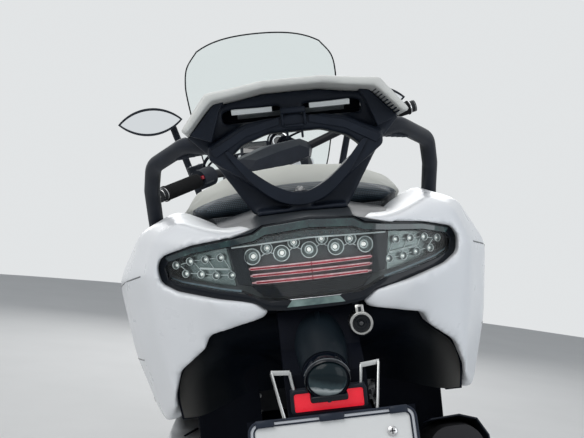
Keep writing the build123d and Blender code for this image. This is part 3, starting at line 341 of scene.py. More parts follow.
def make_finishes(colours):
    """Every material of the scooter, by name in FINISH."""
    white, black = tuple(colours.white), tuple(colours.black)
    painted("pearl_white", white)
    painted("grey_roof", tuple(colours.roof), 0.42)
    moulded("satin_black", black, 0.42)
    moulded("rack_black", (0.011, 0.015, 0.024), 0.4, 900.0, 0.1)
    moulded("deep_black", (0.0035, 0.0045, 0.008), 0.5, wear=1.5, specular=0.05)
    # Arch liner: painted shade, darkest near the middle of the arch, turning to a painted grey-brown sheen on the outer
    # legs
    tree, shader = principled("liner_black", (0.01, 0.01, 0.012), 0.55, Specular_IOR_Level=0.06)
    across = node(tree, "ShaderNodeVectorMath", operation="DOT_PRODUCT", in_1=UPRIGHT[0][:3])
    tree.links.new(own_place(tree), across.inputs[0])
    painted_sheen_reach = maths(tree, "ABSOLUTE", maths(tree, "ADD", across.outputs["Value"], UPRIGHT[0][3]))
    tint(tree, shader, spread(tree, painted_sheen_reach, 0.0, 1.0, 120.0, 192.0),
         [(0.0, (0.003, 0.005, 0.009)), (0.45, (0.012, 0.014, 0.016)), (0.8, (0.055, 0.054, 0.052)),
          (1.0, (0.07, 0.068, 0.064))])
    moulded("hanger_black", (0.006, 0.01, 0.014), 0.34, wear=1.3)
    moulded("dark_grey", (0.035, 0.04, 0.046), 0.36, 1800.0, 0.03, 1.3)
    moulded("frame_paint", (0.014, 0.015, 0.018), 0.38, 500.0, 0.05)
    moulded("bin_felt", (0.03, 0.032, 0.036), 0.85, 700.0, 0.3)
    moulded("grip_rubber", (0.012, 0.012, 0.013), 0.75, 800.0, 0.2)
    moulded("panel_grey", (0.16, 0.175, 0.18), 0.35, 1600.0, 0.03, 1.2)
    glossy("gloss_black", (0.003, 0.005, 0.009), 0.09, 0.12, 0.22)
    glossy("cup_bowl", (0.16, 0.19, 0.19), 0.18)
    # Upper louvre strips: pale and glowing, painted light that stands for brightness seen through the slots
    painted("louvre_painted_glow", (0.74, 0.77, 0.77), 0.4, Emission_Color=(0.7, 0.76, 0.78, 1), Emission_Strength=0.35)
    cast_metal("cast_alloy", (0.5, 0.51, 0.52), 0.42)
    cast_metal("light_alloy", (0.62, 0.63, 0.63), 0.35, 500.0, 0.06)
    cast_metal("wheel_alloy", (0.055, 0.058, 0.065), 0.35, 600.0, 0.05)
    cast_metal("muffler_black", (0.03, 0.03, 0.033), 0.5, 400.0, 0.08)
    brushed("disc_steel", (0.42, 0.42, 0.43), 0.28)
    brushed("bolt_steel", (0.66, 0.66, 0.67), 0.25)
    brushed("chrome_cup", (0.62, 0.64, 0.66), 0.12, 300.0)
    clear("clear_lens", (0.93, 0.96, 0.97), 0.012, 1.3)
    clear("clear_screen", (0.90, 0.95, 0.94), 0.01, 1.12)
    prismatic("reflector_red", tuple(colours.lamp_red))
    tinted("bar_red", (0.42, 0.012, 0.03), 0.16, 60.0, 3.0,
           [(0.3, (0.2, 0.005, 0.012)), (0.5, (0.42, 0.012, 0.03)), (0.7, (0.62, 0.05, 0.09))],
           Coat_Weight=0.5, Emission_Color=(0.5, 0.01, 0.03, 1), Emission_Strength=0.12)
    # Pale pink edges of the red bars: a painted highlight with a little glow
    tinted("bar_edge_painted_highlight", (0.86, 0.62, 0.64), 0.2, 90.0, 2.0,
           [(0.3, (0.5, 0.12, 0.16)), (0.7, (0.85, 0.62, 0.64))],
           Emission_Color=(1, 0.72, 0.74, 1), Emission_Strength=0.25)
    tree, shader = principled("emitter_white", (0.9, 0.92, 0.9), 0.25, Emission_Color=(1, 0.98, 0.92, 1),
                              Emission_Strength=0.55)
    bump(tree, shader, noise(tree, 900.0, 1.0), 0.1, 0.4)
    tinted("channel_white", (0.72, 0.77, 0.76), 0.2, 50.0, 3.0,
           [(0.35, (0.3, 0.36, 0.36)), (0.6, (0.82, 0.86, 0.85))],
           Emission_Color=(0.8, 0.9, 0.9, 1), Emission_Strength=0.18)
    tree, shader = tinted("side_chrome", (0.34, 0.4, 0.38), 0.24, 24.0, 4.0,
                          [(0.3, (0.2, 0.26, 0.25)), (0.7, (0.46, 0.52, 0.5))], 0.9)
    bump(tree, shader, noise(tree, 200.0, 1.0), 0.05, 0.4)
    tree, shader = principled("teal_gloss", (0.012, 0.035, 0.042), 0.06, Coat_Weight=0.8)
    tint(tree, shader, noise(tree, 38.0, 6.0, 0.65), [(0.45, (0.008, 0.025, 0.032)), (0.6, (0.02, 0.06, 0.06)),
                                                      (0.75, (0.2, 0.3, 0.28))])
    # Pale blue strip on the lens's lower edges: a painted refraction
    tinted("edge_painted_refraction", (0.3, 0.42, 0.5), 0.2, 16.0, 3.0, [(0.3, (0.1, 0.17, 0.22)), (0.7, (0.42, 0.55, 0.62))],
           Coat_Weight=0.6)
    tinted("window_green", (0.1, 0.16, 0.15), 0.22, 45.0, 4.0, [(0.3, (0.05, 0.1, 0.1)), (0.7, (0.22, 0.32, 0.3))],
           Coat_Weight=0.7)
    # Plate lamp lens: near-black teal with a painted reflection, a pale band low on the lens placed by height about
    # SNOUT_Z
    tree, shader = principled("lamp_oval", (0.008, 0.014, 0.018), 0.16, Specular_IOR_Level=0.16)
    parts = node(tree, "ShaderNodeSeparateXYZ")
    tree.links.new(own_place(tree), parts.inputs["Vector"])
    wave = maths(tree, "MULTIPLY", noise(tree, 60.0, 3.0), 0.012)
    painted_reflection = spread(tree, maths(tree, "ADD", parts.outputs[2], wave), 0.0, 1.0, SNOUT_Z - 0.014, SNOUT_Z + 0.01)
    tint(tree, shader, painted_reflection, [(0.0, (0.02, 0.03, 0.035)), (0.22, (0.2, 0.24, 0.25)), (0.42, (0.5, 0.55, 0.56)),
                              (0.56, (0.05, 0.08, 0.09)), (1.0, (0.006, 0.014, 0.018))])
    moulded("plate_blue_black", (0.02, 0.026, 0.04), 0.32, 1500.0, 0.03, 1.4)
    painted("seam_grey", (0.09, 0.1, 0.11), 0.5)
    painted("spring_white", (0.5, 0.5, 0.5), 0.35)
    painted("plate_rim", (0.5, 0.52, 0.56), 0.3)
    glossy("projector_glass", (0.16, 0.19, 0.22), 0.05)
    brushed("dim_chrome", (0.5, 0.5, 0.49), 0.2, 500.0)
    tree, shader = principled("mirror_silver", (0.86, 0.88, 0.9), 0.02, 1.0)
    sheen(tree, shader, noise(tree, 10.0, 4.0), 0.012, 0.04)
    tinted("screen_dark", (0.01, 0.012, 0.016), 0.1, 35.0, 2.0,
           [(0.3, (0.008, 0.009, 0.012)), (0.7, (0.02, 0.024, 0.03))], Coat_Weight=1.0)
    painted("plate_white", (0.78, 0.79, 0.79), 0.4)
    weave(*principled("seat_weave", (0.035, 0.04, 0.045), 0.42, Coat_Weight=0.15), (0.035, 0.04, 0.045))
    seat_skin("seat_cover", tuple(colours.seat), (0.022, 0.034, 0.045))
    tyre_rubber("tyre_rubber", (0.016, 0.016, 0.017))


CAD_FINISH = {
    "frame_paint": ("handlebar", "main_frame", "side_stand", "centre_stand", "rear_shocks"),
    "cast_alloy": ("engine_block", "rear_arm"),
    "wheel_alloy": ("front_rim", "rear_rim", "belt_case"),
    "light_alloy": ("air_box", "fork"),
    "muffler_black": ("exhaust",),
    "bin_felt": ("under_seat_bin",),
    "pearl_white": ("tail_panels", "nose_cowl", "lower_skirts", "front_fender"),
    "satin_black": ("grab_rails", "belly_pan", "floor_pan", "centre_tunnel", "leg_shield", "instrument_cluster",
                    "mirrors", "fuel_lid", "handlebar_cover", "bar_controls", "side_covers", "rear_camera"),
    "deep_black": ("tail_under_cover", "plate_hanger", "seat_pan"),
    "dark_grey": ("tail_top_cover",),
    "rack_black": ("rack_frame",),
    "grey_roof": ("rack_cover",),
    "gloss_black": ("tail_lamp_bezel",),
    "panel_grey": ("tail_lamp_core",),
    "bar_red": ("tail_lamp_bars",),
    "clear_lens": ("tail_lamp_lens", "headlamps"),
    "clear_screen": ("windscreen",),
    "plate_white": ("number_plate",),
    "reflector_red": ("reflector",),
    "mirror_silver": ("mirror_glass",),
    "seat_cover": ("seat_cushion",),
    "seat_weave": ("seat_band",),
    "disc_steel": ("front_discs", "rear_disc"),
    "grip_rubber": ("grips",),
    "tyre_rubber": ("front_tyre", "rear_tyre"),
}


# Mesh tools, all in upright millimetres

LATHE_MERGE = 0.005
SEAM_MERGE = 0.00002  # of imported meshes, in metres like WELD_MERGE
WELD_MERGE = 0.00001


def paint(vertices, index):
    """Gives every face at these vertices a material number."""
    for face in {face for vertex in vertices for face in vertex.link_faces}:
        face.material_index = index


def turned(angle, axis="X"):
    """Turn by degrees about an axis."""
    return Matrix.Rotation(radians(angle), 4, axis)


def pointing(direction):
    """Turn that points Z along a direction."""
    return direction.to_track_quat("Z", "Y").to_matrix().to_4x4()


def frame_on(centre, turn=Matrix.Identity(4)):
    return Matrix.Translation(Vector(centre)) @ turn


def add_rod(bm, start, end, radius, end_radius=None, segments=20, index=0):
    """Round bar or cone between two points."""
    start, end = Vector(start), Vector(end)
    span = end - start
    place = frame_on((start + end) / 2, pointing(span))
    made = bmesh.ops.create_cone(bm, cap_ends=True, segments=segments, radius1=radius,
                                 radius2=radius if end_radius is None else end_radius, depth=span.length,
                                 matrix=place)
    paint(made["verts"], index)


def add_block(bm, centre, size, turn=Matrix.Identity(4), edge=0.0, index=0):
    """Box with rounded edges."""
    place = frame_on(centre, turn) @ Matrix.Diagonal((*size, 1))
    made = bmesh.ops.create_cube(bm, size=1.0, matrix=place)["verts"]
    if edge:
        edges = list({e for v in made for e in v.link_edges})
        made = bmesh.ops.bevel(bm, geom=edges, offset=edge, segments=2, profile=0.5, affect="EDGES",
                               material=-1)["verts"]
    paint(made, index)


def add_lathe(bm, profile, place, segments=32, index=0):
    """Turned and closed shape from (radius, height) points about the placed Z axis."""
    first, last = profile[0], profile[-1]
    if first[0] and last[0]:
        profile = [*profile, first]
    elif first[0] or last[0]:
        profile = [*profile, (0, last[1])] if last[0] else [(0, first[1]), *profile]
    points = [bm.verts.new(place @ Vector((r, 0, h))) for r, h in profile]
    lines = [bm.edges.new(pair) for pair in zip(points, points[1:])]
    centre = place.translation
    axis = (place.to_3x3() @ Vector((0, 0, 1))).normalized()
    before = set(bm.verts) - set(points)
    bmesh.ops.spin(bm, geom=points + lines, cent=centre, axis=axis, angle=2 * pi, steps=segments, use_merge=True,
                   use_normal_flip=False, use_duplicate=False)
    made = [v for v in bm.verts if v not in before]
    bmesh.ops.remove_doubles(bm, verts=made, dist=LATHE_MERGE)
    paint([v for v in bm.verts if v not in before], index)


def add_prism(bm, outline, push, index=0):
    """Flat outline of points pushed along a vector."""
    face = bm.faces.new([bm.verts.new(Vector(p)) for p in outline])
    made = bmesh.ops.extrude_face_region(bm, geom=[face])["geom"]
    moved = [v for v in made if isinstance(v, bmesh.types.BMVert)]
    bmesh.ops.translate(bm, verts=moved, vec=Vector(push))
    paint(moved + list(face.verts), index)


def join_rings(bm, rings):
    """Walls from each ring of vertices to the next, all of equal count."""
    faces = []
    for a, b in zip(rings, rings[1:]):
        for n in range(len(a)):
            after = (n + 1) % len(a)
            faces.append(bm.faces.new((a[n], a[after], b[after], b[n])))
    return faces


def add_cord(bm, points, radius, segments=8, index=0):
    """Round cord along a line of points."""
    rings = []
    for n, point in enumerate(points):
        ahead = (points[min(n + 1, len(points) - 1)] - points[max(n - 1, 0)]).normalized()
        across = ahead.cross(Vector((0, 0, 1)))
        across = (across if across.length > 0.01 else ahead.cross(Vector((1, 0, 0)))).normalized()
        lift = across.cross(ahead)
        ring = []
        for k in range(segments):
            turn = 2 * pi * k / segments
            ring.append(bm.verts.new(point + across * radius * cos(turn) + lift * radius * sin(turn)))
        rings.append(ring)
    join_rings(bm, rings)
    bm.faces.new(rings[0][::-1])
    bm.faces.new(rings[-1])
    paint([v for ring in rings for v in ring], index)


def bend_line(points, steps=6):
    """Smooth line through given points, by Catmull-Rom runs."""
    points = [Vector(p) for p in points]
    padded = [points[0] * 2 - points[1]] + points + [points[-1] * 2 - points[-2]]
    line = []
    for a, b, c, d in zip(padded, padded[1:], padded[2:], padded[3:]):
        for n in range(steps):
            t = n / steps
            line.append(0.5 * (2 * b + (c - a) * t + (2 * a - 5 * b + 4 * c - d) * t * t
                               + (3 * b - a - 3 * c + d) * t ** 3))
    return line + [points[-1]]


def on_side(side, points):
    """(x, z) points, mirrored where the side is -1."""
    return [(side * x, z) for x, z in points]


def rounded(width, height, radius, steps=5):
    """Rounded rectangle of (x, y) points about its middle."""
    points = []
    for corner, (sx, sy) in enumerate(((1, 1), (-1, 1), (-1, -1), (1, -1))):
        for n in range(steps + 1):
            turn = pi / 2 * (corner + n / steps)
            points.append((sx * (width / 2 - radius) + radius * cos(turn),
                           sy * (height / 2 - radius) + radius * sin(turn)))
    return points


def add_frame(bm, outer, inner, at, thick, index=0):
    """Flat frame between two outlines of equal count, through a function that places (x, y, out)."""
    rings = []
    for outline, out in ((outer, 0), (outer, thick), (inner, thick), (inner, 0)):
        rings.append([bm.verts.new(at(x, y, out)) for x, y in outline])
    join_rings(bm, rings + rings[:1])
    paint([v for ring in rings for v in ring], index)


def between(start, end, steps):
    start, end = Vector(start), Vector(end)
    return [start + (end - start) * n / steps for n in range(steps + 1)]


def loop_on(corners, radius, at, steps=4):
    """Closed line round corners of (a, b), rounded, through a function that places them."""
    points = []
    count = len(corners)
    for n in range(count):
        before, corner, after = (Vector(corners[(n + k) % count]) for k in (-1, 0, 1))
        enter = corner + (before - corner).normalized() * radius
        leave = corner + (after - corner).normalized() * radius
        for k in range(steps + 1):
            t = k / steps
            points.append(enter * (1 - t) ** 2 + corner * 2 * t * (1 - t) + leave * t * t)
        ahead = Vector(corners[(n + 1) % count]) + (corner - after).normalized() * radius
        runs = max(1, int((ahead - leave).length / 18))
        points += [leave + (ahead - leave) * k / runs for k in range(1, runs)]
    points.append(points[0])
    return [at(p.x, p.y) for p in points]


def add_sheet(bm, rows, thick, index=0):
    """Bent sheet through rows of points, with a thickness."""
    grid = [[bm.verts.new(Vector(p)) for p in row] for row in rows]
    faces = []
    for a, b in zip(grid, grid[1:]):
        for n in range(len(a) - 1):
            faces.append(bm.faces.new((a[n], a[n + 1], b[n + 1], b[n])))
    bmesh.ops.recalc_face_normals(bm, faces=faces)
    made = bmesh.ops.solidify(bm, geom=faces, thickness=thick)["geom"]
    paint([v for row in grid for v in row] + [g for g in made if isinstance(g, bmesh.types.BMVert)], index)


def coil_line(start, end, across, radius, turns, per_turn):
    """Points of a coil round the line between two points, begun on the side that across points to."""
    lift = (end - start).normalized().cross(across)
    points = []
    steps = turns * per_turn
    for n in range(steps + 1):
        turn = 2 * pi * n / per_turn
        points.append(start.lerp(end, n / steps) + (across * cos(turn) + lift * sin(turn)) * radius)
    return points


def add_spring(bm, start, end, radius, wire, turns):
    """Small extension spring with hooked ends."""
    start, end = Vector(start), Vector(end)
    across = (end - start).orthogonal().normalized()
    coil = coil_line(start.lerp(end, 0.12), start.lerp(end, 0.88), across, radius, turns, 10)
    add_cord(bm, [start, *coil, end], wire, 6)


def level_at(line, x):
    """Height of a line of (x, z) points at x, level beyond its ends."""
    for (x0, z0), (x1, z1) in zip(line, line[1:]):
        if x <= x1:
            return z0 + (z1 - z0) * (max(x, x0) - x0) / (x1 - x0)
    return line[-1][1]


def new_object(name, data):
    """An object of the scene that holds this data."""
    made = bpy.data.objects.new(name, data)
    bpy.context.scene.collection.objects.link(made)
    return made


def round_edges(piece, width, segments, angle):
    """Bevels the edges that are sharper than an angle in degrees."""
    bevel = piece.modifiers.new("edges", "BEVEL")
    bevel.width = width * MM
    bevel.segments = segments
    bevel.limit_method = "ANGLE"
    bevel.angle_limit = radians(angle)
    bevel.use_clamp_overlap = True


def finish(name, bm, finishes, body="chassis", place=PLACE, edge=0.0, smooth=35.0):
    """Leans a drawn mesh into the row frame as a piece that rides on a body."""
    bmesh.ops.recalc_face_normals(bm, faces=bm.faces[:])
    bm.transform(place)
    mesh = bpy.data.meshes.new(name)
    bm.to_mesh(mesh)
    bm.free()
    mesh.shade_smooth()
    mesh.set_sharp_from_angle(angle=radians(smooth))
    piece = new_object(name, mesh)
    for finish_name in finishes:
        mesh.materials.append(FINISH[finish_name])
    if edge:
        round_edges(piece, edge, 2, 40)
    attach(piece, body)
    return piece


def copy_node(name, new_name):
    """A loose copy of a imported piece, with its seams closed."""
    mesh = NODES[name].data.copy()
    mesh.materials.clear()
    copied = new_object(new_name, mesh)
    bm = bmesh.new()
    bm.from_mesh(mesh)
    bmesh.ops.remove_doubles(bm, verts=bm.verts[:], dist=SEAM_MERGE)
    bm.to_mesh(mesh)
    bm.free()
    return copied


def bake(piece):
    """Keep the evaluated shape of a piece and drop its modifiers."""
    graph = bpy.context.evaluated_depsgraph_get()
    mesh = bpy.data.meshes.new_from_object(piece.evaluated_get(graph), depsgraph=graph)
    piece.modifiers.clear()
    piece.data = mesh


def even_copy(name, new_name, voxel):
    """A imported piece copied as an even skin, with its mesh size in millimetres."""
    skin = copy_node(name, new_name)
    remesh = skin.modifiers.new("even", "REMESH")
    remesh.mode = "VOXEL"
    remesh.voxel_size = voxel * MM
    bake(skin)
    return skin


SKINS = {}
HOLD_STEP = 2.2


def rounded_skin(name, new_name, finish_name, voxel, passes, hold=None, shift=None):
    """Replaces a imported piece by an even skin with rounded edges, except where hold() keeps them."""
    skin = even_copy(name, new_name, voxel)
    bm = bmesh.new()
    bm.from_mesh(skin.data)
    freedom = {}
    for vertex in bm.verts:
        spot = UPRIGHT @ vertex.co
        freedom[vertex] = passes if hold is None else min(passes, int(1 + hold(spot) / HOLD_STEP))
        if shift:
            vertex.co = PLACE @ (spot + shift(spot))
    for n in range(passes):
        bmesh.ops.smooth_vert(bm, verts=[v for v in bm.verts if freedom[v] > n], factor=0.5,
                              use_axis_x=True, use_axis_y=True, use_axis_z=True)
    bm.to_mesh(skin.data)
    bm.free()
    skin.data.shade_smooth()
    skin.data.materials.append(FINISH[finish_name])
    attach(skin, "chassis")
    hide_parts(name)
    SKINS[name] = skin
    bpy.context.view_layer.update()


# Tail lamp, its faces bent about an upright axis

LAMP_AXIS_Y = 35.0
LAMP_R = 320.0
LENS_OUT = 316.0
CORE_OUT = 290.0
CUPS = ((-71, 836), (-35, 837), (-1, 838), (32, 838), (69, 837))
SMALL_CUPS = ((-53, 845), (-19, 849), (16, 850), (52, 846))
SIDE_UPPER = ((112, 838), (132, 837), (152, 836), (171, 832))
SIDE_LOWER = ((100, 814), (120, 815), (139, 818), (159, 820))
RED_BARS = ((820, 78), (811, 76), (802, 72))
EDGE_LINE = ((-99, 850), (0, 854), (99, 850))


def lamp_y(x, radius):
    """Where the lamp's bent face of that radius is at x."""
    return LAMP_AXIS_Y - sqrt(radius ** 2 - x ** 2)


def add_bent(bm, outline, radius, thick, index=0, step=12.0):
    """Panel of an (x, z) outline bent to the lamp's curve."""
    face = bm.faces.new([bm.verts.new((x, 0, z)) for x, z in outline])
    low = min(x for x, _ in outline)
    high = max(x for x, _ in outline)
    cuts = int((high - low) / step)
    pieces = [face]
    for n in range(1, cuts + 1):
        x = low + (high - low) * n / (cuts + 1)
        geom = pieces + list({e for f in pieces for e in f.edges}) + list({v for f in pieces for v in f.verts})
        cut = bmesh.ops.bisect_plane(bm, geom=geom, plane_co=(x, 0, 0), plane_no=(1, 0, 0))
        pieces = [g for g in cut["geom"] if isinstance(g, bmesh.types.BMFace)]
    corners = {v for f in pieces for v in f.verts}
    for corner in corners:
        corner.co.y = lamp_y(corner.co.x, radius)
    made = bmesh.ops.extrude_face_region(bm, geom=pieces)["geom"]
    moved = [v for v in made if isinstance(v, bmesh.types.BMVert)]
    bmesh.ops.translate(bm, verts=moved, vec=(0, thick, 0))
    paint(moved + list(corners), index)


def facing(x, radius):
    """Turn that points Z out of the lamp's bent face at x."""
    return Matrix.Rotation(asin(x / radius), 4, "Z") @ BACK


def on_lamp(x, z, radius):
    return Vector((x, lamp_y(x, radius), z))


def add_cup(bm, x, z, radius, depth):
    """Thin bright rings round a grey bowl, with an emitter in its middle."""
    place = frame_on(on_lamp(x, z, CORE_OUT - 1), facing(x, CORE_OUT))
    bowl = [(radius, 0), (radius, depth), (radius - 0.5, depth), (radius * 0.8, depth * 0.5),
            (radius * 0.5, depth * 0.36), (0, depth * 0.3)]
    add_lathe(bm, bowl, place, 28, 0)
    for share, wide, level in ((1.0, 0.09, 1.0), (0.52, 0.13, 0.6)):
        outer, inner, top = radius * share + 0.3, radius * (share - wide), depth * level
        add_lathe(bm, [(outer, top - 1), (outer, top + 0.5), ((outer + inner) / 2, top + 1), (inner, top + 0.5),
                       (inner, top - 1), (outer, top - 1)], place, 28, 1)
    emitter = [(radius * 0.26, depth * 0.3), (radius * 0.26, depth * 0.6), (radius * 0.16, depth * 0.8),
               (0, depth * 0.85)]
    add_lathe(bm, emitter, place, 16, 2)


def add_channel(bm, start, end, radius, width):
    """Thin light channel between two points of the lamp, laid on its bent face in short runs."""
    runs = max(1, int(abs(end[0] - start[0]) / 14))
    spots = [on_lamp(start[0] + (end[0] - start[0]) * n / runs, start[1] + (end[1] - start[1]) * n / runs, radius)
             for n in range(runs + 1)]
    for ends in zip(spots, spots[1:]):
        add_rod(bm, *ends, width, segments=8)


def add_channels(bm, points, radius, width):
    """Light channels along a line of points."""
    for start, end in zip(points, points[1:]):
        add_channel(bm, start, end, radius, width)


def build_tail_lamp(sizes):
    bm = bmesh.new()
    for x, z in CUPS:
        add_cup(bm, x, z, sizes.cup_r, 12)
    for x, z in SMALL_CUPS:
        add_cup(bm, x, z, sizes.cup_r * 0.72, 9)
    for side in SIDES:
        for x, z in on_side(side, SIDE_UPPER + SIDE_LOWER):
            add_cup(bm, x, z, sizes.small_cup_r, 8)
    finish("lamp_cups", bm, ("cup_bowl", "channel_white", "emitter_white"))

    bm = bmesh.new()
    add_channels(bm, [(x, z - 5) for x, z in sorted(CUPS + SMALL_CUPS)], CORE_OUT + 3, 0.7)
    for side in SIDES:
        for row in (SIDE_UPPER, SIDE_LOWER):
            add_channels(bm, on_side(side, row), CORE_OUT + 2, 0.5)
        for pair in zip(SIDE_UPPER, SIDE_LOWER):
            add_channel(bm, *on_side(side, pair), CORE_OUT + 2, 0.5)
        add_channel(bm, (side * 104, 822), (side * 143, 826), CORE_OUT + 6, 1.3)
    add_channels(bm, EDGE_LINE, CORE_OUT + 18, 1.0)
    finish("lamp_channels", bm, ("channel_white",))

    bm = bmesh.new()
    for side in SIDES:
        add_bent(bm, on_side(side, ((84, 851), (104, 851), (95, 802), (77, 798))), CORE_OUT + 12, 12, 0)
    add_bent(bm, [(-96, 851), (0, 855), (96, 851), (70, 854), (56, 860), (0, 864), (-56, 860), (-70, 854)],
             CORE_OUT + 18, 3, 1)
    add_bent(bm, [(-78, 798), (78, 798), (64, 784), (54, 781), (-54, 781), (-64, 784)], CORE_OUT + 10, 8, 2)
    finish("lamp_dividers", bm, ("dark_grey", "teal_gloss", "gloss_black"), edge=0.8)

    bm = bmesh.new()
    upper = [(0, 877), (57, 873), (71, 865), (97, 861), (150, 855), (188, 845)]
    under = [(183, 839), (150, 848), (98, 853), (70, 857), (56, 863), (0, 867)]
    for side in SIDES:
        add_bent(bm, on_side(side, upper + under), LAMP_R + 0.7, 1.4, 0)
    finish("lamp_top_glass", bm, ("teal_gloss",), edge=0.4)

    bm = bmesh.new()
    plate = [(106, 850), (147, 845), (180, 836), (186, 831), (183, 819), (168, 813), (120, 802), (98, 799)]
    for side in SIDES:
        add_bent(bm, on_side(side, plate), CORE_OUT + 1.2, 2, 0)
        # Under each plate, a pale blue strip: a painted refraction along the lens's lower edge
        lower = [(92, 795), (118, 800), (168, 812), (183, 818), (180, 815), (168, 809.5), (118, 797.5), (92, 792.5)]
        add_bent(bm, on_side(side, lower), LENS_OUT - 8, 3, 1)
    finish("lamp_side_chrome_and_painted_refraction", bm, ("side_chrome", "edge_painted_refraction"), edge=0.4)

    # Red bar edges: a painted highlight, wider along the top edge than the bottom
    bm = bmesh.new()
    for z, half in RED_BARS:
        for rise, deep in ((1.9, 0.75), (-1.9, 0.3)):
            middle, end = z + rise, z + rise * 0.8
            outline = [(-half, end - deep), (0, middle - deep), (half, end - deep), (half, end + deep),
                       (0, middle + deep), (-half, end + deep)]
            add_bent(bm, outline, CORE_OUT + 9, 1.2, 0)
        for side in SIDES:
            tip = [(half, z - 1.2), (half, z + 1.2), (half + 7, z + 0.8), (half + 7, z - 0.8)]
            add_bent(bm, on_side(side, tip), CORE_OUT + 7, 2, 0)
        add_block(bm, on_lamp(0, z, CORE_OUT + 8.4), (1.6, 1.6, 5.0), edge=0.3, index=1)
    finish("lamp_bar_edges", bm, ("bar_edge_painted_highlight", "bar_red"))

    bm = bmesh.new()
    add_bent(bm, [(-30, 778), (30, 778), (37, 769.5), (-37, 769.5)], LAMP_R + 0.9, 1.6, 0)
    add_bent(bm, [(-33, 779.4), (33, 779.4), (31, 778.2), (-31, 778.2)], LAMP_R + 1.4, 2.0, 1)
    finish("lamp_window", bm, ("window_green", "chrome_cup"), edge=0.4)


# Rack

OLD_BOTTOM = ((0, 915), (46, 938), (90, 966))
NEW_BOTTOM = ((0, 911), (16, 914), (36, 924.5), (52, 936), (68, 951), (90, 966))
BAND_TOP = ((0, 912), (14, 914), (34, 923.5), (50, 935), (66, 949), (84, 969), (92, 976))
BAND_FOOT = ((0, 894.5), (24, 899), (42, 909), (58, 923), (74, 941), (90, 964), (96, 974))


def crown_drop(spot):
    """Flattens the roof's crown."""
    share = max(0.0, 1.0 - (spot.x / 118) ** 2) * min(1.0, max(0.0, (spot.z - 1005) / 30))
    return Vector((0, 0, -8.0 * share))


def rack_shift(spot):
    """Rounds the V-shaped foot of the rack's opening and flattens its crown."""
    if abs(spot.x) > 90 or spot.z > 1000:
        return crown_drop(spot)
    old, new = (level_at(line, abs(spot.x)) for line in (OLD_BOTTOM, NEW_BOTTOM))
    share = max(0.0, 1.0 - abs(spot.z - old) / 14)
    return Vector((0, 0, (new - old) * share))


def build_rack():
    rounded_skin("rack_frame", "rack_shell", "rack_black", 2.6, 7, shift=rack_shift)
    rounded_skin("rack_cover", "roof_skin", "grey_roof", 3.0, 6, shift=crown_drop)

    # Louvres: the top strip of each is pale and glowing, painted light; the strip under it is mid grey and the slats
    # black
    bm = bmesh.new()
    for side in SIDES:
        add_block(bm, (side * 54, -156, 1030), (56, 5, 7), turned(28), 0.8, 0)
        add_block(bm, (side * 43, -153, 1023.5), (62, 5, 6), turned(28), 0.8, 1)
        for n in range(3):
            add_block(bm, (side * 54, -149 + 3 * n, 1018 - 4.5 * n), (86, 5, 3.6), turned(28), 0.8, 2)
        for x in (30, 54, 78):
            add_block(bm, (side * x, -146, 1019), (1.6, 10, 10), edge=0.3, index=2)
        add_block(bm, (side * 54, -136, 1027), (90, 4, 30), edge=1.0, index=2)
    finish("rack_louvres", bm, ("louvre_painted_glow", "panel_grey", "deep_black"))

    bm = bmesh.new()
    for n in range(9):
        share = n / 8
        x, z = 112 + 26 * share, 1038 - 32 * share
        add_block(bm, (x, -209, z), (1.6, 52, 7), turned(50, "Y"), 0.3)
    finish("rack_ribs", bm, ("rack_black",))

    bm = bmesh.new()
    add_block(bm, (0, -184, 908), (22, 9, 12), edge=2.0, index=1)
    add_lathe(bm, [(0, 3.5), (1.8, 3.5), (2.2, 5.0), (3.6, 5.0), (4.4, 4.2), (4.4, 1.2), (6.6, 1.0),
                   (6.6, -2), (0, -2)], frame_on((0, -182, 914), turned(-38) @ BACK), 24, 0)
    finish("rack_bolt", bm, ("bolt_steel", "rack_black"))

    bm = bmesh.new()
    wall = -197.5
    for half, z, width, height in ((0, 1022, 34, 8), (15, 1010, 4, 18), (0, 1001, 26, 4), (10, 990, 3, 12)):
        for side in (SIDES if half else (1,)):
            add_block(bm, (side * half, wall - 1.5, z), (width, 5, height), edge=1.2)
    whole = [[(-x, wall, z) for x, z in reversed(line[1:])] + [(x, wall, z) for x, z in line]
             for line in (BAND_TOP, BAND_FOOT)]
    add_prism(bm, bend_line(whole[0], 4) + bend_line(whole[1][::-1], 4), (0, -5, 0))
    for side in SIDES:
        upper = on_side(side, ((20, 1004), (66, 992), (108, 968), (116, 978), (66, 1004), (20, 1014)))
        add_prism(bm, [(x, wall, z) for x, z in upper], (0, -3.0, 0))
        hook = on_side(side, ((112, 990), (140, 1001), (104, 1040), (90, 1044), (98, 1030)))
        add_prism(bm, [(x, -178, z) for x, z in hook], (0, -22, 0))
    finish("rack_bands", bm, ("rack_black",), edge=2.0)

    bm = bmesh.new()
    for n in range(5):
        for side in SIDES:
            add_block(bm, (side * (126 + 9 * n), -146 + 9 * n, 980.5 - 0.6 * n), (1.8, 14, 8),
                      turned(-side * 45, "Z"), 0.3)
    finish("rail_ribs", bm, ("rack_black",))


# Number plate, its lamp and the rear camera

PLATE_TOP = Vector((0, -350, 640))
PLATE_W, PLATE_H = 190.0, 145.0
PLATE_TILT = radians(14.0)
PLATE_TURN = Matrix.Rotation(-PLATE_TILT, 4, "X") @ BACK
PLATE_DOWN = Vector((0, -sin(PLATE_TILT), -cos(PLATE_TILT)))
PLATE_OUT = Vector((0, -cos(PLATE_TILT), sin(PLATE_TILT)))


def on_plate(x, y, out):
    """Point across from the plate's middle, above it and out of its face."""
    return PLATE_TOP + Vector((x, 0, 0)) + PLATE_DOWN * (PLATE_H / 2 - y) + PLATE_OUT * out


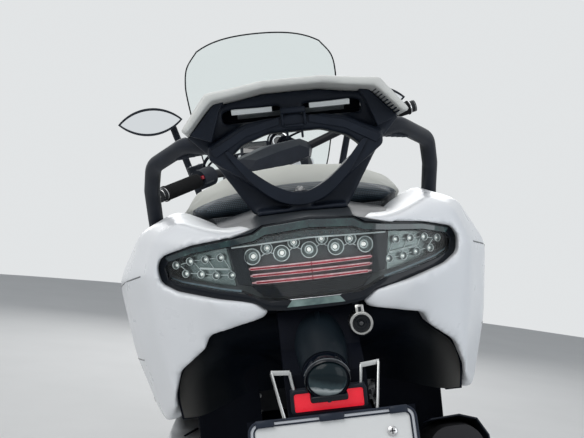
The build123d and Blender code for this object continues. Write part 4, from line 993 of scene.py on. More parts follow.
def build_plate():
    bm = bmesh.new()
    rims = [rounded(PLATE_W + grow, PLATE_H + grow, radius) for grow, radius in ((12.6, 15), (7, 12), (0, 9), (-4, 7))]
    for outer, inner, (lift, thick, index) in zip(rims, rims[1:], ((1.2, 4.6, 0), (1.6, 2.8, 1), (1.6, 1.8, 0))):
        add_frame(bm, outer, inner, lambda x, y, out: on_plate(x, y, out + lift), thick, index)
    for x, half in ((0, 15), (-80, 11), (80, 11)):
        for edge_y in (PLATE_H / 2 + 2, -PLATE_H / 2 - 2):
            add_block(bm, on_plate(x, edge_y, 5.0), (2 * half, 9, 2.6), PLATE_TURN, 1.0, 0)
    finish("plate_frame", bm, ("plate_blue_black", "plate_rim"), edge=0.7)

    bm = bmesh.new()
    for x in (-70, 70):
        place = frame_on(on_plate(x, 50, 1.9), PLATE_TURN)
        add_lathe(bm, [(0, 2.8), (2.2, 3.4), (4.6, 2.6), (6.2, 1.2), (6.2, -0.4), (0, -0.4)], place, 24, 0)
        for turn in (0, 90):
            add_block(bm, on_plate(x, 50, 4.9), (7, 1.2, 1.4), PLATE_TURN @ turned(turn, "Z"), 0.2, 1)
    finish("plate_screws", bm, ("bolt_steel", "deep_black"))

    bm = bmesh.new()
    for side in SIDES:
        path = [(side * 41, -329, 674), (side * 44, -324, 695), (side * 66, -324, 697), (side * 56, -348, 644)]
        for start, end in zip(path, path[1:]):
            span = Vector(end) - Vector(start)
            add_block(bm, Vector(start).lerp(end, 0.5), (1.7, 6, span.length + 1.2), pointing(span), 0.5)
    finish("plate_brackets", bm, ("light_alloy",))

    bm = bmesh.new()
    mouth = frame_on((0, -340, 688), turned(22) @ BACK)
    add_lathe(bm, [(27.2, -10), (28.4, -4), (28.4, 5), (27.8, 8), (26.8, 9), (25.8, 7), (25.8, -10)], mouth, 44, 0)
    # Lens dome; its finish carries a painted reflection across its lower part
    add_lathe(bm, [(0, 19.5), (8, 19.2), (16, 17.3), (22.5, 13), (25.4, 8), (26.2, 2), (26.2, -4), (0, -4)],
              mouth, 44, 1)
    rim = [mouth @ Vector((28.2 * cos(radians(a)), 28.2 * sin(radians(a)), 4.5)) for a in range(15, 166, 6)]
    add_cord(bm, rim, 0.9, 8, 2)
    add_block(bm, mouth @ Vector((0, -24.5, 13)), (5, 5, 5), mouth.to_3x3().to_4x4(), 1.4, 2)
    add_block(bm, (0, -341, 666), (46, 22, 9), turned(12), 3.0, 0)
    finish("plate_lamp", bm, ("gloss_black", "lamp_oval", "seam_grey"), edge=0.4)

    bm = bmesh.new()
    add_frame(bm, rounded(93, 32, 6), rounded(84, 23, 3), lambda x, y, out: Vector((x, -332 - out, 659.5 + y)), 8.5, 0)
    add_block(bm, (0, -325, 659.5), (92, 7, 31), edge=2.0)
    finish("reflector_frame", bm, ("satin_black",), edge=1.0)

    bm = bmesh.new()
    place = frame_on((53, -292, 741), BACK)
    add_lathe(bm, [(12.6, -34), (14.8, -34), (14.8, 2.2), (13.8, 3.4), (11.6, 3.4), (10.8, 1.6), (10.8, 0)],
              place, 36, 0)
    add_lathe(bm, [(10.8, -0.5), (10.8, 0.8), (8.6, 0.6), (8.2, 2.0), (7.4, 2.0), (7.0, 0.2), (5.2, 0.0), (4.8, 1.6),
                   (4.2, 1.6), (3.6, 0.3), (0, 0.2)], place, 36, 1)
    add_lathe(bm, [(3.4, 0.3), (2.6, 1.5), (0, 2.0)], place, 24, 2)
    add_block(bm, (53, -284, 757), (11, 7, 13), turned(-14), 1.5, 0)
    add_block(bm, (53, -288.4, 757), (4, 2, 9), turned(-14), 0.6, 1)
    finish("camera_rings", bm, ("dim_chrome", "gloss_black", "screen_dark"))


# Seat

SEAT_REAR, SEAT_FRONT = -72.0, 655.0
SEAT_LOW, SEAT_RISE = 747.0, 113.0


def seat_floor(y):
    """Height of the seat's underside."""
    return SEAT_LOW + (SEAT_FRONT - y) / (SEAT_FRONT - SEAT_REAR) * SEAT_RISE


BAND_DIP, SEAT_HALF = 20.0, 150.0
WEAVE_RISE = ((-90, 70), (120, 68), (210, 44), (282, 24), (330, 14), (670, 6))


def weave_top(y):
    """Height where the light cover meets the woven band."""
    return seat_floor(y) + level_at(WEAVE_RISE, y)


CLOTH = {"quality": 6, "mass": 0.3, "tension_stiffness": 40, "compression_stiffness": 40, "bending_stiffness": 2.0,
         "use_pressure": True, "uniform_pressure_force": 4.0}
CLOTH_FRAMES = 20


def build_seat(sizes):
    """Blows the cushion up a little as a closed cloth skin over its foam."""
    scene = bpy.context.scene
    cushion = even_copy("seat_cushion", "seat_padding", sizes.pad_voxel)
    smooth = cushion.modifiers.new("round", "SMOOTH")
    smooth.factor = 0.5
    smooth.iterations = 6
    bake(cushion)
    start = [vertex.co.copy() for vertex in cushion.data.vertices]
    cloth = cushion.modifiers.new("padding", "CLOTH")
    for setting, value in CLOTH.items():
        setattr(cloth.settings, setting, value)
    cloth.settings.effector_weights.gravity = 0.0
    cloth.point_cache.frame_start = 1
    cloth.point_cache.frame_end = CLOTH_FRAMES
    for step in range(1, CLOTH_FRAMES + 1):
        scene.frame_set(step)
    graph = bpy.context.evaluated_depsgraph_get()
    moved = [vertex.co.copy() for vertex in cushion.evaluated_get(graph).data.vertices]
    cushion.modifiers.clear()
    scene.frame_set(1)
    cap = sizes.pad_swell * MM
    for vertex, before, after in zip(cushion.data.vertices, start, moved):
        step = after - before
        vertex.co = before + step * min(1.0, cap / max(step.length, 1e-9))
    fine = cushion.modifiers.new("fine", "SUBSURF")
    fine.levels = fine.render_levels = 1
    cushion.data.materials.append(FINISH["seat_cover"])
    mark = cushion.data.attributes.new("above_band", "FLOAT", "POINT")
    for vertex, value in zip(cushion.data.vertices, mark.data):
        spot = UPRIGHT @ vertex.co
        value.value = spot.z - weave_top(spot.y) + BAND_DIP * (spot.x / SEAT_HALF) ** 2
    cushion.data.shade_smooth()
    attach(cushion, "seat")
    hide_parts("seat_cushion")


# Wheels

RIM_LIP = 12.0
WHEELS = {
    "rear_wheel": (REAR_HUB, 150.0, 177.8, PLACE),
    "front_wheel": (FRONT_HUB, 120.0, 190.5, STEERED),
}
BEAD_SHARE = 0.72
CROWN_R = 75.0
GROOVE_EVERY = 6


def tyre_profile(radius, width, rim_r):
    """Half profile of (x, r) points from the crown's middle down to the bead."""
    half = width / 2
    edge = asin(min(half, CROWN_R * 0.96) / CROWN_R)
    steps = 8
    crown = [(CROWN_R * sin(edge * n / steps), radius - 1.0 - CROWN_R * (1 - cos(edge * n / steps)))
             for n in range(steps + 1)]
    shoulder_r = crown[-1][1]
    bead = half * BEAD_SHARE
    wall = [(half - 1.5, shoulder_r - 10), (half - 3, shoulder_r - 20), ((half + bead) / 2 + 3, rim_r + 30),
            (bead + 5.2, rim_r + RIM_LIP + 4), (bead + 4.4, rim_r + RIM_LIP + 0.6), (bead - 0.6, rim_r + RIM_LIP + 0.6),
            (bead - 0.6, rim_r + 0.6), (bead - 8, rim_r + 0.6), (half - 10, shoulder_r - 22)]
    return crown, wall


def build_tyre(wheel, sizes):
    """Round tyre with slanted grooves cut into its crown."""
    hub, width, rim_r, place = WHEELS[wheel]
    radius = hub.z
    crown, wall = tyre_profile(radius, width, rim_r)
    half_line = crown + wall
    line = [(-x, r) for x, r in reversed(half_line)] + half_line[1:]
    inner = [(CROWN_R * 0.5, radius - 16.0), (0, radius - 11.0), (-CROWN_R * 0.5, radius - 16.0)]
    section = line + inner
    steps = sizes.tread_steps
    bm = bmesh.new()
    rings = []
    for n in range(steps):
        turn = 2 * pi * n / steps
        ring = []
        for x, r in section:
            slant = turn + 0.0016 * abs(x) * (r > radius - 45)
            ring.append(bm.verts.new((x, r * sin(slant), r * cos(slant))))
        rings.append(ring)
    middle = len(half_line) - 1
    tread = []
    for count, face in enumerate(join_rings(bm, rings + rings[:1])):
        n, k = divmod(count, len(section))
        right = k >= middle
        outward = k - middle if right else middle - k - 1
        beat = (n if right else n + GROOVE_EVERY // 2) % GROOVE_EVERY
        if (1 <= outward < len(crown) - 2 and beat == 0) or (outward == 3 and beat in (1, 2)):
            tread.append(face)
    bmesh.ops.recalc_face_normals(bm, faces=bm.faces[:])
    grown = bmesh.ops.inset_region(bm, faces=tread, thickness=2.2, depth=-sizes.tread_depth, use_even_offset=True)
    paint([v for f in grown["faces"] for v in f.verts], 0)
    bm.transform(Matrix.Translation(hub))
    piece = finish(wheel + "_tread", bm, ("tyre_rubber",), wheel, place, smooth=28.0)
    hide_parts("front_tyre" if wheel == "front_wheel" else "rear_tyre")


def build_wheel_parts(wheel):
    """Rim beads, hub nuts and valve."""
    hub, width, rim_r, place = WHEELS[wheel]
    half = width / 2 * BEAD_SHARE
    bm = bmesh.new()
    sideways = frame_on(hub, SIDEWAYS)
    for side in SIDES:
        edge = side * (half + 6.2)
        add_lathe(bm, [(rim_r - 4, edge), (rim_r + 4, edge + side * 0.9), (rim_r + 11, edge), (rim_r + 11, edge - side),
                       (rim_r - 4, edge - side)], sideways, 72, 0)
    for n in range(5):
        turn = 2 * pi * (n + 0.5) / 5
        out = Vector((0, sin(turn), cos(turn)))
        for side in SIDES:
            spot = hub + out * 30 + Vector((side * 45, 0, 0))
            add_rod(bm, spot, spot + Vector((side * 4.5, 0, 0)), 6.5, segments=6, index=1)
    valve_side = 1 if wheel == "front_wheel" else -1
    valve = hub + Vector((valve_side * (half - 14), 0, rim_r - 9))
    add_rod(bm, valve, valve - Vector((0, 0, 30)), 3.2, 2.6, 16, 2)
    add_rod(bm, valve - Vector((0, 0, 28)), valve - Vector((0, 0, 38)), 3.8, 3.4, 16, 2)
    finish(wheel + "_details", bm, ("wheel_alloy", "bolt_steel", "deep_black"), wheel, place)


# Handlebar, mirrors and dash

BAR_END = Vector((385, 990, 1013))
BAR_BEND = Vector((215, 1052, 1017))
MIRROR = Vector((325, 1322, 1149))


def on_bar(distance, side):
    spot = BAR_END + (BAR_BEND - BAR_END).normalized() * distance
    return Vector((side * spot.x, spot.y, spot.z))


def build_bars():
    bm = bmesh.new()
    for side in SIDES:
        for n in range(26):
            add_rod(bm, on_bar(7 + 4.1 * n, side), on_bar(9.4 + 4.1 * n, side), 18.1, segments=28, index=0)
        add_rod(bm, on_bar(0.5, side), on_bar(3.6, side), 19.6, segments=32, index=0)
        add_rod(bm, on_bar(-1.0, side), on_bar(-3.5, side), 17.2, segments=32, index=1)
        add_rod(bm, on_bar(-14.5, side), on_bar(-17.6, side), 16.6, 14.5, 32, 1)
        add_rod(bm, on_bar(-17.4, side), on_bar(-18.6, side), 6.0, segments=6, index=1)
    finish("grip_rings", bm, ("grip_rubber", "bolt_steel"), "steering", STEERED)

    bm = bmesh.new()
    for side in SIDES:
        along = (BAR_BEND - BAR_END).normalized()
        along.x *= side
        turn = along.to_track_quat("X", "Z").to_matrix().to_4x4()
        middle = on_bar(145, side)
        add_block(bm, middle + Vector((0, 6, 2)), (52, 46, 40), turn, 8.0, 0)
        for n, (shift, high) in enumerate(((-16, 10), (0, 6), (15, 10))):
            add_block(bm, middle + along * shift + Vector((0, -19, high - 6)), (11, 8, 9), turn, 2.0, 1 if n else 2)
        add_block(bm, middle + Vector((0, -20, -12)), (30, 7, 7), turn, 2.0, 1)
        reservoir = on_bar(150, side) + Vector((side * 4, 34, 22))
        add_lathe(bm, [(0, -14), (19, -14), (20, -10), (20, 8), (21.4, 9), (21.4, 13), (19.6, 14.4), (0, 14.4)],
                  frame_on(reservoir), 32, 0)
        for dx in (-12, 12):
            add_rod(bm, reservoir + Vector((dx, 0, 14.2)), reservoir + Vector((dx, 0, 16)), 2.6, segments=12, index=3)
    finish("switch_blocks", bm, ("satin_black", "dark_grey", "bar_red", "bolt_steel"), "steering", STEERED)

    bm = bmesh.new()
    for side in SIDES:
        start = on_bar(150, side) + Vector((0, 40, 0))
        hose = bend_line([start, start + Vector((-side * 50, 20, 44)), (side * 80, 1214, 1062), (side * 36, 1206, 985)])
        add_cord(bm, hose, 4.2)
        cable = bend_line([start + Vector((0, 0, -8)), start + Vector((-side * 60, 26, 30)), (side * 84, 1208, 1034),
                           (side * 46, 1204, 970)])
        add_cord(bm, cable, 3.0)
    for n in range(3):
        loom = bend_line([(118 - 10 * n, 1176 + 5 * n, 1022 + 7 * n), (92, 1200, 1046 - 8 * n),
                          (56, 1210, 1006 - 12 * n), (24, 1202, 958)])
        add_cord(bm, loom, 5.0)
    finish("bar_hoses", bm, ("deep_black",), "steering", STEERED)


def eye_line(width, height, steps=20):
    """Eye-shaped outline of two arcs, as (x, z) points."""
    arc_r = (width ** 2 / 4 + height ** 2 / 4) / height
    painted_sheen_reach = asin(width / 2 / arc_r)
    top = [(arc_r * sin(painted_sheen_reach - 2 * painted_sheen_reach * n / steps), arc_r * cos(painted_sheen_reach - 2 * painted_sheen_reach * n / steps) - arc_r + height / 2)
           for n in range(steps)]
    return top + [(-x, -z) for x, z in top]


def build_mirrors():
    bm = bmesh.new()
    for side in SIDES:
        middle = Vector((side * MIRROR.x, MIRROR.y, MIRROR.z))
        add_frame(bm, eye_line(186, 80), eye_line(173, 67), lambda x, y, out: middle + Vector((x, 1.0 - out, y)), 5.0)
        add_rod(bm, middle + Vector((-side * 57, 34, -8)), middle + Vector((-side * 57, 34, 6)), 15, 12, 24, 0)
        seam = [middle + Vector((x * 0.985, 17, z * 0.985)) for x, z in eye_line(176, 74)]
        add_cord(bm, seam + seam[:1], 1.3, 6, 1)
    finish("mirror_rims", bm, ("satin_black", "deep_black"), edge=0.8)


SCREEN_HALF = ((150, -30), (168, 60), (184, 150), (198, 290), (206, 400), (206, 452), (196, 500), (166, 537))
SCREEN_CROWN = 18.0
SCREEN_BASE = Vector((0, 1506, 924))
SCREEN_BEND = 400.0
SCREEN_RISE = Vector((0, -350, 407)).normalized()
SCREEN_FACE = Vector((0, 407, 350)).normalized()


def on_screen(x, up, out=0.0):
    """Point on the windscreen: across, up its middle line, and out of it."""
    drop = SCREEN_BEND - sqrt(SCREEN_BEND ** 2 - x ** 2)
    return SCREEN_BASE + SCREEN_RISE * up + SCREEN_FACE * (out - drop) + Vector((x, 0, 0))


def build_screen():
    """Smooth bent glass with a dark ground edge, and its bolts."""
    flank = bend_line([Vector((x, up, 0)) for x, up in SCREEN_HALF], 5)
    foot, head = flank[0].y, flank[-1].y
    rows = []
    for p in flank:
        share = ((p.y - foot) / (head - foot)) ** 4
        across = [n / 12 - 1 for n in range(25)]
        rows.append([on_screen(s * p.x, p.y + SCREEN_CROWN * share * (1 - s ** 4)) for s in across])
    bm = bmesh.new()
    add_sheet(bm, rows, 3.0)
    glass = finish("screen_glass", bm, ("clear_screen",), smooth=50.0)
    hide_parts("windscreen")

    bm = bmesh.new()
    line = [row[-1] for row in rows[:-1]] + list(reversed(rows[-1])) + [row[0] for row in reversed(rows[:-1])]
    add_cord(bm, line, 1.9, 8)
    finish("screen_edge", bm, ("deep_black",))

    bm = bmesh.new()
    for side in SIDES:
        for up in (10, 120):
            place = frame_on(on_screen(side * 118, up, 1), pointing(SCREEN_FACE))
            add_lathe(bm, [(0, 0), (7, 0), (7.5, 2), (5.5, 4.4), (0, 5)], place, 24)
    finish("screen_bolts", bm, ("deep_black",))


def build_dash():
    """Round dial and dark screen in pods on the cluster, between pale side panels."""
    bm = bmesh.new()
    face = turned(62)
    r = 30
    place = frame_on((36, 1290, 1058), face)
    add_lathe(bm, [(r + 3, -40), (r + 4, -8), (r + 3, 1), (r + 1, 3), (r + 0.5, 0), (r + 0.5, -40)], place, 48, 3)
    add_lathe(bm, [(r, -8), (r, 1), (r - 2, 3.4), (r - 5, 2.4), (r - 6, -2), (r - 6, -8)], place, 48, 0)
    add_lathe(bm, [(0, -3), (r - 6.2, -3), (r - 6.2, -6), (0, -6)], place, 40, 1)
    add_lathe(bm, [(r * 0.56, -3), (r * 0.56, -1.2), (r * 0.46, -1.2), (r * 0.46, -3)], place, 40, 0)
    add_block(bm, place @ Vector((4, 5, -1.8)), (1.6, 15, 1.2), face @ turned(-38, "Z"), 0.3, 2)
    for n in range(9):
        turn = radians(-30 + 30 * n)
        mark = place @ Vector(((r - 9) * cos(turn), (r - 9) * sin(turn), -2.6))
        add_block(bm, mark, (3.6, 0.9, 1.0), face @ Matrix.Rotation(turn, 4, "Z"), 0.2, 0)
    add_block(bm, (-34, 1296, 1036), (84, 34, 44), turned(-28), 9.0, 3)
    add_block(bm, (-34, 1280, 1044), (68, 3, 30), turned(-28), 1.2, 1)
    add_block(bm, (6, 1314, 1040), (130, 34, 40), turned(-28), 9.0, 3)
    finish("dash_dials", bm, ("chrome_cup", "screen_dark", "bar_red", "satin_black"))

    bm = bmesh.new()
    for side in SIDES:
        rows = []
        for level in range(4):
            y, z = 1262 + 22 * level, 950 + 22 * level
            rows.append([(side * (58 + 15 * n), y - 6 + 1.6 * n * n, z + 14 - 2.4 * n * n * 0.6) for n in range(6)])
        add_sheet(bm, rows, 3.0)
    finish("dash_side_panels", bm, ("pearl_white",), edge=0.6, smooth=50.0)


# Trim on the body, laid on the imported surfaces

RAY_START = 420
FORWARDS, BACKWARDS = (0, 1, 0), (0, -1, 0)


def from_side(side, y, z):
    """Start and direction of a ray onto the right side, or the left where the side is -1."""
    return (side * RAY_START, y, z), (-side, 0, 0)


def on_surface(name, start, towards):
    """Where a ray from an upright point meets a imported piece, with the normal there."""
    aim = (PLACE.to_3x3() @ Vector(towards)).normalized()
    hit, spot, normal, _ = SKINS.get(name, NODES[name]).ray_cast(PLACE @ Vector(start), aim)
    if not hit:
        return None
    outward = (UPRIGHT.to_3x3() @ normal).normalized()
    if outward.dot(Vector(towards)) > 0:
        outward = -outward
    return UPRIGHT @ spot, outward


def add_screw(bm, spot, outward, radius=4.0, index=0):
    """Domed screw with a socket in its head."""
    head = [(radius, -1), (radius, 0.3), (radius * 0.82, 1.3), (radius * 0.45, 1.7), (radius * 0.4, 0.4), (0, 0.4)]
    add_lathe(bm, head, frame_on(spot, pointing(outward)), 18, index)


def cast_screw(bm, name, start, towards, radius, index=0):
    """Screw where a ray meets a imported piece."""
    found = on_surface(name, start, towards)
    if found:
        add_screw(bm, *found, radius, index)


def add_seam(bm, name, points, towards, width):
    """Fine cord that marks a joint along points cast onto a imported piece."""
    line = []
    for point in points:
        found = on_surface(name, point, towards)
        if found:
            line.append(found[0] - found[1] * width * 0.35)
    if len(line) > 2:
        add_cord(bm, line, width, 6)


def side_seam(bm, name, side, start, end, steps, width):
    """Seam between two (y, z) points of one side."""
    points = between((side * RAY_START, *start), (side * RAY_START, *end), steps)
    add_seam(bm, name, points, (-side, 0, 0), width)


ARCH_EDGE = ((0, 757), (74, 754), (134, 740), (146, 722), (181, 693), (191, 660), (188, 628))
ARCH_CENTRE = Vector((0, 632, 0))
LAMP_EDGE = ((0, 880), (58, 876), (72, 868), (97, 864), (151, 858), (192, 847), (199, 833), (196, 812), (175, 800),
             (122, 787), (77, 779), (62, 768), (38, 765))


def edge_distance(outline, x, z):
    """How far a point lies from a right-hand outline of (x, z) points."""
    x, best = abs(x), 1000.0
    for (x0, z0), (x1, z1) in zip(outline, outline[1:]):
        run_x, run_z = x1 - x0, z1 - z0
        share = ((x - x0) * run_x + (z - z0) * run_z) / (run_x ** 2 + run_z ** 2)
        share = min(1.0, max(0.0, share))
        best = min(best, hypot(x - x0 - share * run_x, z - z0 - share * run_z))
    return best


def panel_hold(spot):
    """Keeps the tail panels' edges crisp round the lamp and the wheel arch."""
    if spot.y > -100:
        return 100.0
    return min(edge_distance(LAMP_EDGE, spot.x, spot.z), edge_distance(ARCH_EDGE, spot.x, spot.z))


def build_tail_trim():
    rounded_skin("tail_panels", "tail_skin", "pearl_white", 4.6, 34, panel_hold)

    bm = bmesh.new()
    for side in SIDES:
        for y0, z0, y1, z1 in ((-205, 822, 420, 716), (-150, 702, 420, 640)):
            side_seam(bm, "tail_panels", side, (y0, z0), (y1, z1), 26, 1.2)
    finish("tail_seams", bm, ("seam_grey",))

    bm = bmesh.new()
    for side in SIDES:
        for y, z in ((-60, 628), (90, 612), (240, 600), (390, 585)):
            cast_screw(bm, "tail_panels", *from_side(side, y, z), 5.0)
        for y, z in ((470, 590), (540, 500), (620, 420), (500, 740)):
            cast_screw(bm, "side_covers", *from_side(side, y, z), 5.0, 1)
    finish("panel_screws", bm, ("bolt_steel", "deep_black"))

    # Arch liner: its finish paints shade deep in the arch and a sheen on its outer legs
    bm = bmesh.new()
    edge = bend_line([(x, z, 0) for x, z in on_side(-1, ARCH_EDGE[:0:-1]) + on_side(1, ARCH_EDGE)], 3)
    rows = []
    for inward, y in ((0, -203), (3, -206.5), (9, -208), (18, -208), (25, -206), (33, -198), (45, -178), (60, -146),
                      (78, -112), (96, -98)):
        spots = [p.lerp(ARCH_CENTRE, min(0.9, inward / (ARCH_CENTRE - p).length)) for p in edge]
        rows.append([(spot.x, y, spot.y) for spot in spots])
    rows.append([(x * 0.3, -97, ARCH_CENTRE.y + (z - ARCH_CENTRE.y) * 0.3) for x, _, z in rows[-1]])
    add_sheet(bm, rows, 2.0)
    for side in SIDES:
        wing = [[(side * (84 + 11 * n), -100 - 1.6 * n ** 1.5, z) for n in range(9)] for z in (668, 640, 610, 580, 552)]
        add_sheet(bm, wing, 2.0, 1)
    finish("arch_liner", bm, ("liner_black", "deep_black"), smooth=60.0)

    bm = bmesh.new()
    add_rod(bm, (0, -250, 724), (0, -320, 692), 37, 28.6, 48)
    add_cord(bm, bend_line([(0, -266, 757), (0, -284, 742), (0, -300, 728), (0, -316, 722)], 5), 3.2, 10)
    finish("hanger_hump", bm, ("hanger_black",), smooth=50.0)


def build_headlamps():
    bm = bmesh.new()
    for side in SIDES:
        for x, y, z, r in ((78, 1596, 772, 25), (128, 1548, 800, 22)):
            place = frame_on((side * x, y, z), turned(-side * 12, "Z") @ AHEAD)
            add_lathe(bm, [(r, -14), (r, 0), (r - 2, 1.6), (r - 4, 0), (r * 0.72, -7), (r * 0.66, -12), (r * 0.6, -14)],
                      place, 36, 0)
            add_lathe(bm, [(r * 0.6, -13), (r * 0.52, -6), (r * 0.3, -2), (0, -0.6)], place, 32, 1)
        back = [(44, 736), (60, 786), (142, 836), (184, 800), (128, 732)]
        add_prism(bm, [(side * x, 1612 - 0.62 * x - 22, z) for x, z in back], (0, -3, 0), 2)
        for n in range(6):
            start, end = (60 + 20 * n, 1598 - 12 * n, 743 + 5 * n), (76 + 20 * n, 1588 - 12 * n, 747 + 5 * n)
            add_rod(bm, (side * start[0], *start[1:]), (side * end[0], *end[1:]), 3.2, segments=12, index=3)
    finish("headlamp_units", bm, ("chrome_cup", "projector_glass", "gloss_black", "emitter_white"))

    bm = bmesh.new()
    for side in SIDES:
        zone = [(34, 726), (52, 792), (142, 846), (196, 806), (132, 722)]
        rim = loop_on(on_side(side, zone), 7, lambda x, z: Vector((x, 1800, z)))
        casts = [on_surface("headlamps", point, BACKWARDS) or on_surface("nose_cowl", point, BACKWARDS)
                 for point in rim]
        points = [found[0] for found in casts if found]
        add_cord(bm, points, 1.7, 6)
    finish("front_indicators", bm, ("seam_grey",))


SHIELD_START = 900


def build_nose_trim():
    bm = bmesh.new()
    for side in SIDES:
        side_seam(bm, "nose_cowl", side, (1185, 772), (1520, 770), 24, 1.2)
        side_seam(bm, "nose_cowl", side, (1190, 640), (1420, 650), 16, 1.2)
    finish("nose_seams", bm, ("seam_grey",))

    bm = bmesh.new()
    for n in range(11):
        add_block(bm, (0, 1253.5, 302 + 13 * n), (250, 5, 8), turned(-32), 1.4)
    add_frame(bm, rounded(292, 166, 14), rounded(266, 140, 8), lambda x, y, out: Vector((x, 1250 + out, 368 + y)), 7)
    finish("front_grille", bm, ("satin_black",))

    bm = bmesh.new()
    for corners in ([(-208, 640), (-74, 640), (-70, 826), (-200, 826)],
                    [(74, 640), (208, 640), (200, 826), (128, 826), (128, 800), (70, 800)]):
        add_seam(bm, "leg_shield", loop_on(corners, 14, lambda x, z: Vector((x, SHIELD_START, z))), FORWARDS, 1.6)
    finish("glovebox_seams", bm, ("deep_black",))

    bm = bmesh.new()
    found = on_surface("leg_shield", (98, SHIELD_START, 838), FORWARDS)
    if found:
        turn = pointing(found[1])
        add_lathe(bm, [(17, -2), (17, 5), (15, 7), (12, 6), (11, 3), (0, 3)], frame_on(found[0], turn), 36)
        add_block(bm, found[0] + found[1] * 3.6, (9, 2.4, 1.4), turn, 0.3, 1)
    for x in (-170, -110, 110, 170):
        cast_screw(bm, "leg_shield", (x, SHIELD_START, 655), FORWARDS, 4.5)
    found = on_surface("leg_shield", (0, SHIELD_START, 700), FORWARDS)
    if found:
        spot = found[0]
        hook = [spot + Vector((0, y, z)) for y, z in ((2, 12), (-22, 10), (-30, -4), (-24, -18), (-12, -16))]
        add_cord(bm, bend_line(hook, 5), 4.0, 10)
        add_block(bm, spot + Vector((0, -1, 12)), (26, 5, 22), edge=2.0)
    finish("shield_fittings", bm, ("bolt_steel", "deep_black"))


def build_floor():
    bm = bmesh.new()
    for side in SIDES:
        for n in range(9):
            add_block(bm, (side * (132 + 10.5 * n), 884, 353.6), (6, 400 - 8 * abs(n - 4), 3.4), edge=1.2)
        for y in (672, 1096):
            add_block(bm, (side * 174, y, 353.2), (100, 7, 3), edge=1.2)
        for y in (700, 1070):
            add_screw(bm, Vector((side * 226, y, 352.2)), Vector((0, 0, 1)), 4.5, 1)
    finish("floor_mats", bm, ("grip_rubber", "bolt_steel"))

    bm = bmesh.new()
    for side in SIDES:
        found = on_surface("side_covers", *from_side(side, 560, 512))
        start = found[0] if found else Vector((side * 262, 560, 512))
        root = Vector((start.x - side * 6, 560, 500))
        add_block(bm, root + Vector((side * 6, 0, 0)), (16, 44, 30), edge=4.0)
        add_block(bm, root + Vector((side * 22, 0, 2)), (24, 30, 20), edge=5.0)
        peg = root + Vector((side * 30, 0, 4))
        add_block(bm, peg + Vector((0, 46, 8)), (17, 92, 15), edge=5.0, index=1)
        for n in range(8):
            add_block(bm, peg + Vector((side * 8.6, 10 + 10 * n, 8)), (2.4, 4, 12), edge=0.8, index=1)
    finish("passenger_pegs", bm, ("light_alloy", "grip_rubber"))


SHOCK_X = 104
SHOCK_FOOT, SHOCK_TOP = (-30, 352), (120, 640)


def build_shocks():
    """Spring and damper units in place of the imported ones."""
    bm = bmesh.new()
    for side in SIDES:
        foot, top = (Vector((side * SHOCK_X, *end)) for end in (SHOCK_FOOT, SHOCK_TOP))
        line = (top - foot).normalized()
        low, high = foot + line * 44, top - line * 36
        add_cord(bm, coil_line(low, high, Vector((1, 0, 0)), 17.6, 9, 16), 4.2)
        add_rod(bm, foot, low, 13, segments=28, index=1)
        add_rod(bm, low - line * 7, low, 22, segments=32, index=1)
        add_rod(bm, high, high + line * 8, 22, segments=32, index=1)
        add_rod(bm, low, (low + high) / 2 + line * 20, 11.5, segments=28, index=2)
        add_rod(bm, low, top, 6.5, segments=24, index=3)
        add_rod(bm, high + line * 6, high + line * 24, 13, 10, 24, 2)
        for end in (foot, top):
            add_lathe(bm, [(7, -11), (12, -11), (13.5, -8), (13.5, 8), (12, 11), (7, 11), (7, -11)],
                      frame_on(end, SIDEWAYS), 28, 1)
    shocks = finish("shock_units", bm, ("spring_white", "frame_paint", "deep_black", "bolt_steel"))
    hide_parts("rear_shocks")


CASE_X = -160
CASE_SCREW_X = -160.3
PULLEY = (402, 320)


